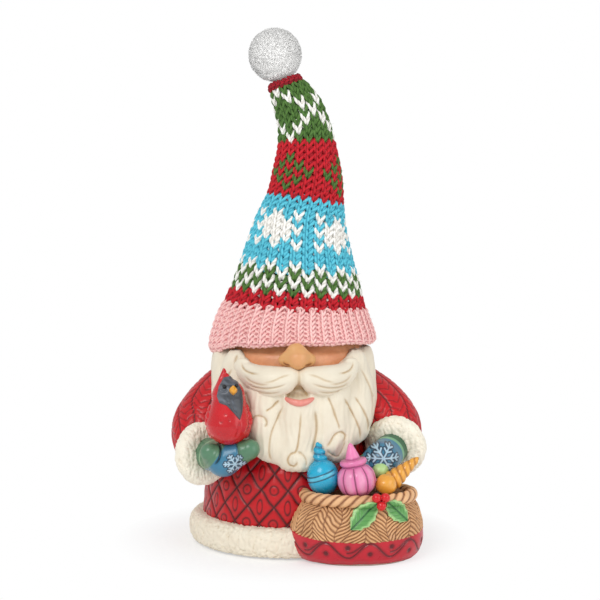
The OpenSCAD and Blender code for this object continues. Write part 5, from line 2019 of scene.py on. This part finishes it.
def pink_seam(a, z):
    t = off_line((a - SEGMENT_TURN) / TAU * SEGMENTS) * TAU / SEGMENTS * 8.2
    return ridge(t, 0.34) * smoothstep(-8, -5, z) * smoothstep(6.9, 6.0, z)


def pink_middle(a):
    """0 at a seam and 1 in the middle of a segment."""
    return np.abs(np.sin((a - SEGMENT_TURN) * SEGMENTS / 2))


def pink_colours(a, z):
    shine = smoothstep(0.55, 1, pink_middle(a)) * 0.5 * smoothstep(7, 4, z)
    return painted([PINK, (246, 184, 210)], [shine.ravel()])


def pink_ornament():
    def relief(a, z):
        swell = 0.35 * pink_middle(a) ** 0.6 * smoothstep(7, 4, z) * smoothstep(-7.5, -4, z)
        return swell - 0.35 * pink_seam(a, z)

    marks = {
        "ink": lambda a, z: 0.95 * pink_seam(a, z),
        "paint": pink_colours,
        "hollow": lambda a, z: 0.8 * ridge(z - 6.9, 0.5) + 0.7 * ridge(z - 10.1, 0.5) + 0 * a,
    }
    finish = dict(paint="paint", ink=(92, 14, 54), mottle=0.3)
    paint = resin("ornament_pink", PINK, (140, 40, 96), 0.28, coat=0.55, **finish)
    place, axis = low("pink_ornament") + [8.2, 8.2, 6.75], leaning(-10)
    spun("pink_drop", "pink_ornament", paint, place, axis, PINK_PROFILE, relief, marks)


def round_profile(r):
    """A ball's profile, with small flats at its poles."""
    t = np.linspace(-math.pi / 2 + 0.06, math.pi / 2 - 0.06, 11)
    return [[r * math.cos(x), r * math.sin(x)] for x in t]


def dented(a, z):
    return 0.12 * np.sin(2 * a + z) + 0.08 * np.cos(3 * a - 1.3 * z)


def twist(a, z):
    """Two threads wound round the icicle."""
    return (0.5 - 0.012 * z) * (np.abs(np.cos((2 * a - TAU * z / 3.1) / 2)) - 0.6)


def small_ornaments():
    orange = resin("ornament_orange", (242, 174, 66), (150, 84, 18), 0.28, coat=0.55, mottle=0.35)
    green = resin("ornament_green", (188, 222, 150), (84, 130, 62), 0.3, coat=0.5, mottle=0.3)
    for colour, paint, r in (("orange", orange, 4.6), ("green", green, 3.85)):
        node = colour + "_ornament"
        spun(colour + "_ball", node, paint, centre(node), UP, round_profile(r), dented)
    foot = low("icicle_ornament") + [3.6, 3.23, 3.73]
    axis = np.array([12, 2, 9.8])
    long = float(np.linalg.norm(axis))
    profile = [[1.2, -3.2], [3.6, -1.6], [4.3, 0.8], [4.0, 3.8], [3.3, 7], [2.5, 10.5], [1.8, 13.6]]
    profile += [[1.2, long], [0.3, long + 1.1]]
    marks = {"hollow": lambda a, z: np.clip(0.25 - 2.6 * twist(a, z), 0, 1)}
    spun("twisted_icicle", "icicle_ornament", orange, foot, axis, profile, twist, marks)


bird_body()
bird_wings()
bird_mask()
bird_beak()
basket_foot()
basket_weave()
basket_rope()
holly()
blue_ornament()
pink_ornament()
small_ornaments()


# --- The felt under the base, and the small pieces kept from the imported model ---
def felt_finish():
    f = Finish("felt_oatmeal", roughness=0.95, Sheen_Weight=0.25)
    f.two_tone(f.spread(f.noise(0.7, 4, 0.7), 0.35, 0.7), (220, 212, 196), (196, 186, 168))
    f.bump(f.noise(0.35, 4, 0.7), 0.12, 0.8)
    return f.material


def felt_pad():
    """Felt glued under the figure, with its trimmed edge a little uneven."""
    lo, hi = low("base_felt"), high("base_felt")
    round_r, lobe = -lo[0], BASKET_AT[:2]
    lobe_r = np.array([hi[0] - lobe[0], lobe[1] - lo[1]])
    rings, columns = 18, 260
    a = np.linspace(0, TAU, columns, endpoint=False)
    way = np.stack([np.cos(a), np.sin(a)], -1) / lobe_r
    toward = way @ (lobe / lobe_r)
    size = (way**2).sum(axis=1)
    span = toward**2 - size * (((lobe / lobe_r) ** 2).sum() - 1)
    reach = np.where(span > 0, toward + np.sqrt(np.maximum(span, 0)), 0) / size
    edge = np.maximum(round_r, reach) - 0.35 + 0.12 * np.sin(9 * a + 1) + 0.08 * np.sin(23 * a)
    share = np.concatenate([np.linspace(0.02, 1, rings), np.linspace(1, 0.02, rings)])[:, None]
    level = np.concatenate([np.full(rings, lo[2]), np.full(rings, hi[2])])[:, None] + 0 * a
    points = np.stack([edge * share * np.cos(a), edge * share * np.sin(a), level], -1)
    points[1:-1, :, 2] += 0.03 * waves(points[1:-1], 3, 81)
    points[..., 2] = np.clip(points[..., 2], lo[2], hi[2])
    verts, faces = capped(points)
    pad = on_figure(make_piece("felt_pad", verts, faces, felt_finish()), "base_felt")


def steel_finish():
    f = Finish("turned_steel", roughness=0.34, Metallic=1.0)
    rings = f.spread(f.noise(0.4, 2, 0.5, (1, 1, 0.05)), 0.3, 0.7)
    f.two_tone(rings, (196, 198, 202), (150, 152, 158))
    f.rough(f.spread(f.noise(1.5, 3), 0.3, 0.7, 0.26, 0.44))
    f.bump(rings, 0.01, 0.5)
    return f.material


def thread_finish():
    f = Finish("thread_ivory", roughness=0.85, Sheen_Weight=0.2)
    plies = f.spread(f.noise(0.3, 3, 0.6, (1, 1, 0.35)), 0.35, 0.7)
    f.two_tone(plies, (240, 236, 226), (196, 188, 172))
    f.bump(plies, 0.05, 0.8)
    return f.material


def refinish(node, material):
    for place in bpy.data.objects[node].material_slots:
        place.material = material


felt_pad()
bright_steel = steel_finish()
for pin in ("shoulder_pins", "basket_pins", "cardinal_pin"):
    refinish(pin, bright_steel)
refinish("pompom_thread", thread_finish())


# --- Camera, light and floor ---
# The camera: how far in front, how far to the side and how high, in mm, and its turn and dip.
CAMERA_AWAY, CAMERA_SIDE, CAMERA_HIGH = 650.0, 3.68, 157.0
CAMERA_TURN, CAMERA_DOWN = math.radians(-4), math.radians(3.87)
LENS_MM, SENSOR_MM = 82.7, 36.0


def placed(name, data, place, look):
    """An object at a place that looks along a direction."""
    made = bpy.data.objects.new(name, data)
    made.location = place
    made.rotation_mode = "QUATERNION"
    made.rotation_quaternion = Vector(look).to_track_quat("-Z", "Y")
    bpy.context.scene.collection.objects.link(made)
    return made


def camera():
    right = np.array([math.cos(CAMERA_TURN), math.sin(CAMERA_TURN), 0])
    back = np.array([math.sin(CAMERA_TURN), -math.cos(CAMERA_TURN), 0])
    eye = (back * CAMERA_AWAY + right * CAMERA_SIDE + UP * CAMERA_HIGH) * MM
    data = bpy.data.cameras.new("camera")
    data.sensor_width, data.lens = SENSOR_MM, LENS_MM
    look = -back * math.cos(CAMERA_DOWN) - UP * math.sin(CAMERA_DOWN)
    bpy.context.scene.camera = placed("camera", data, eye, look)


def area_light(name, place, size, power):
    """A round lamp that points at the middle of the figure."""
    data = bpy.data.lights.new(name, "AREA")
    data.shape = "DISK"
    data.size, data.energy = size, power
    placed(name, data, place, Vector((0, 0, 0.12)) - Vector(place))


def floor_white():
    """A white floor that keeps the figure's shadow near it, and further off turns into the white
    background."""
    f = Finish("floor_white", roughness=0.9)
    f.colour(linear((255, 255, 255)))
    flat = f.node("ShaderNodeMapping", Vector=f.place(), Scale=(1, 1, 0))
    far = f.node("ShaderNodeVectorMath", operation="LENGTH")
    f.link(flat.outputs[0], far.inputs[0])
    share = f.spread(far.outputs["Value"], 0.054, 0.085, 0.45, 1.0)
    path = f.node("ShaderNodeLightPath")
    seen = f.maths("MULTIPLY", share, path.outputs["Is Camera Ray"])
    white = f.node("ShaderNodeEmission", Color=(1, 1, 1, 1), Strength=1.0)
    both = f.node("ShaderNodeMixShader")
    f.link(seen, both.inputs[0])
    f.link(f.surface.outputs[0], both.inputs[1])
    f.link(white.outputs[0], both.inputs[2])
    f.link(both.outputs[0], f.out.inputs["Surface"])
    return f.material


def studio_world():
    """A white world that the camera sees a little brighter than it lights."""
    world = bpy.data.worlds.new("studio")
    world.use_nodes = True
    tree = world.node_tree
    tree.nodes.clear()
    path = tree.nodes.new("ShaderNodeLightPath")
    level = tree.nodes.new("ShaderNodeMapRange")
    level.inputs["To Min"].default_value = 0.66
    level.inputs["To Max"].default_value = 1.0
    tree.links.new(path.outputs["Is Camera Ray"], level.inputs["Value"])
    back = tree.nodes.new("ShaderNodeBackground")
    back.inputs["Color"].default_value = (1, 1, 1, 1)
    tree.links.new(level.outputs["Result"], back.inputs["Strength"])
    out = tree.nodes.new("ShaderNodeOutputWorld")
    tree.links.new(back.outputs[0], out.inputs[0])
    bpy.context.scene.world = world


def white_floor():
    far = 900.0
    corners = [[-far, -far, 0], [far, -far, 0], [far, far, 0], [-far, far, 0]]
    floor = make_piece("floor", corners, [np.array([[0, 1, 2, 3]])], floor_white())


camera()
studio_world()
area_light("key", (-0.45, -0.75, 0.75), 0.6, 4.5)
area_light("fill", (0.7, -0.6, 0.35), 0.7, 2.0)
white_floor()
bpy.context.scene.view_settings.view_transform = "Standard"
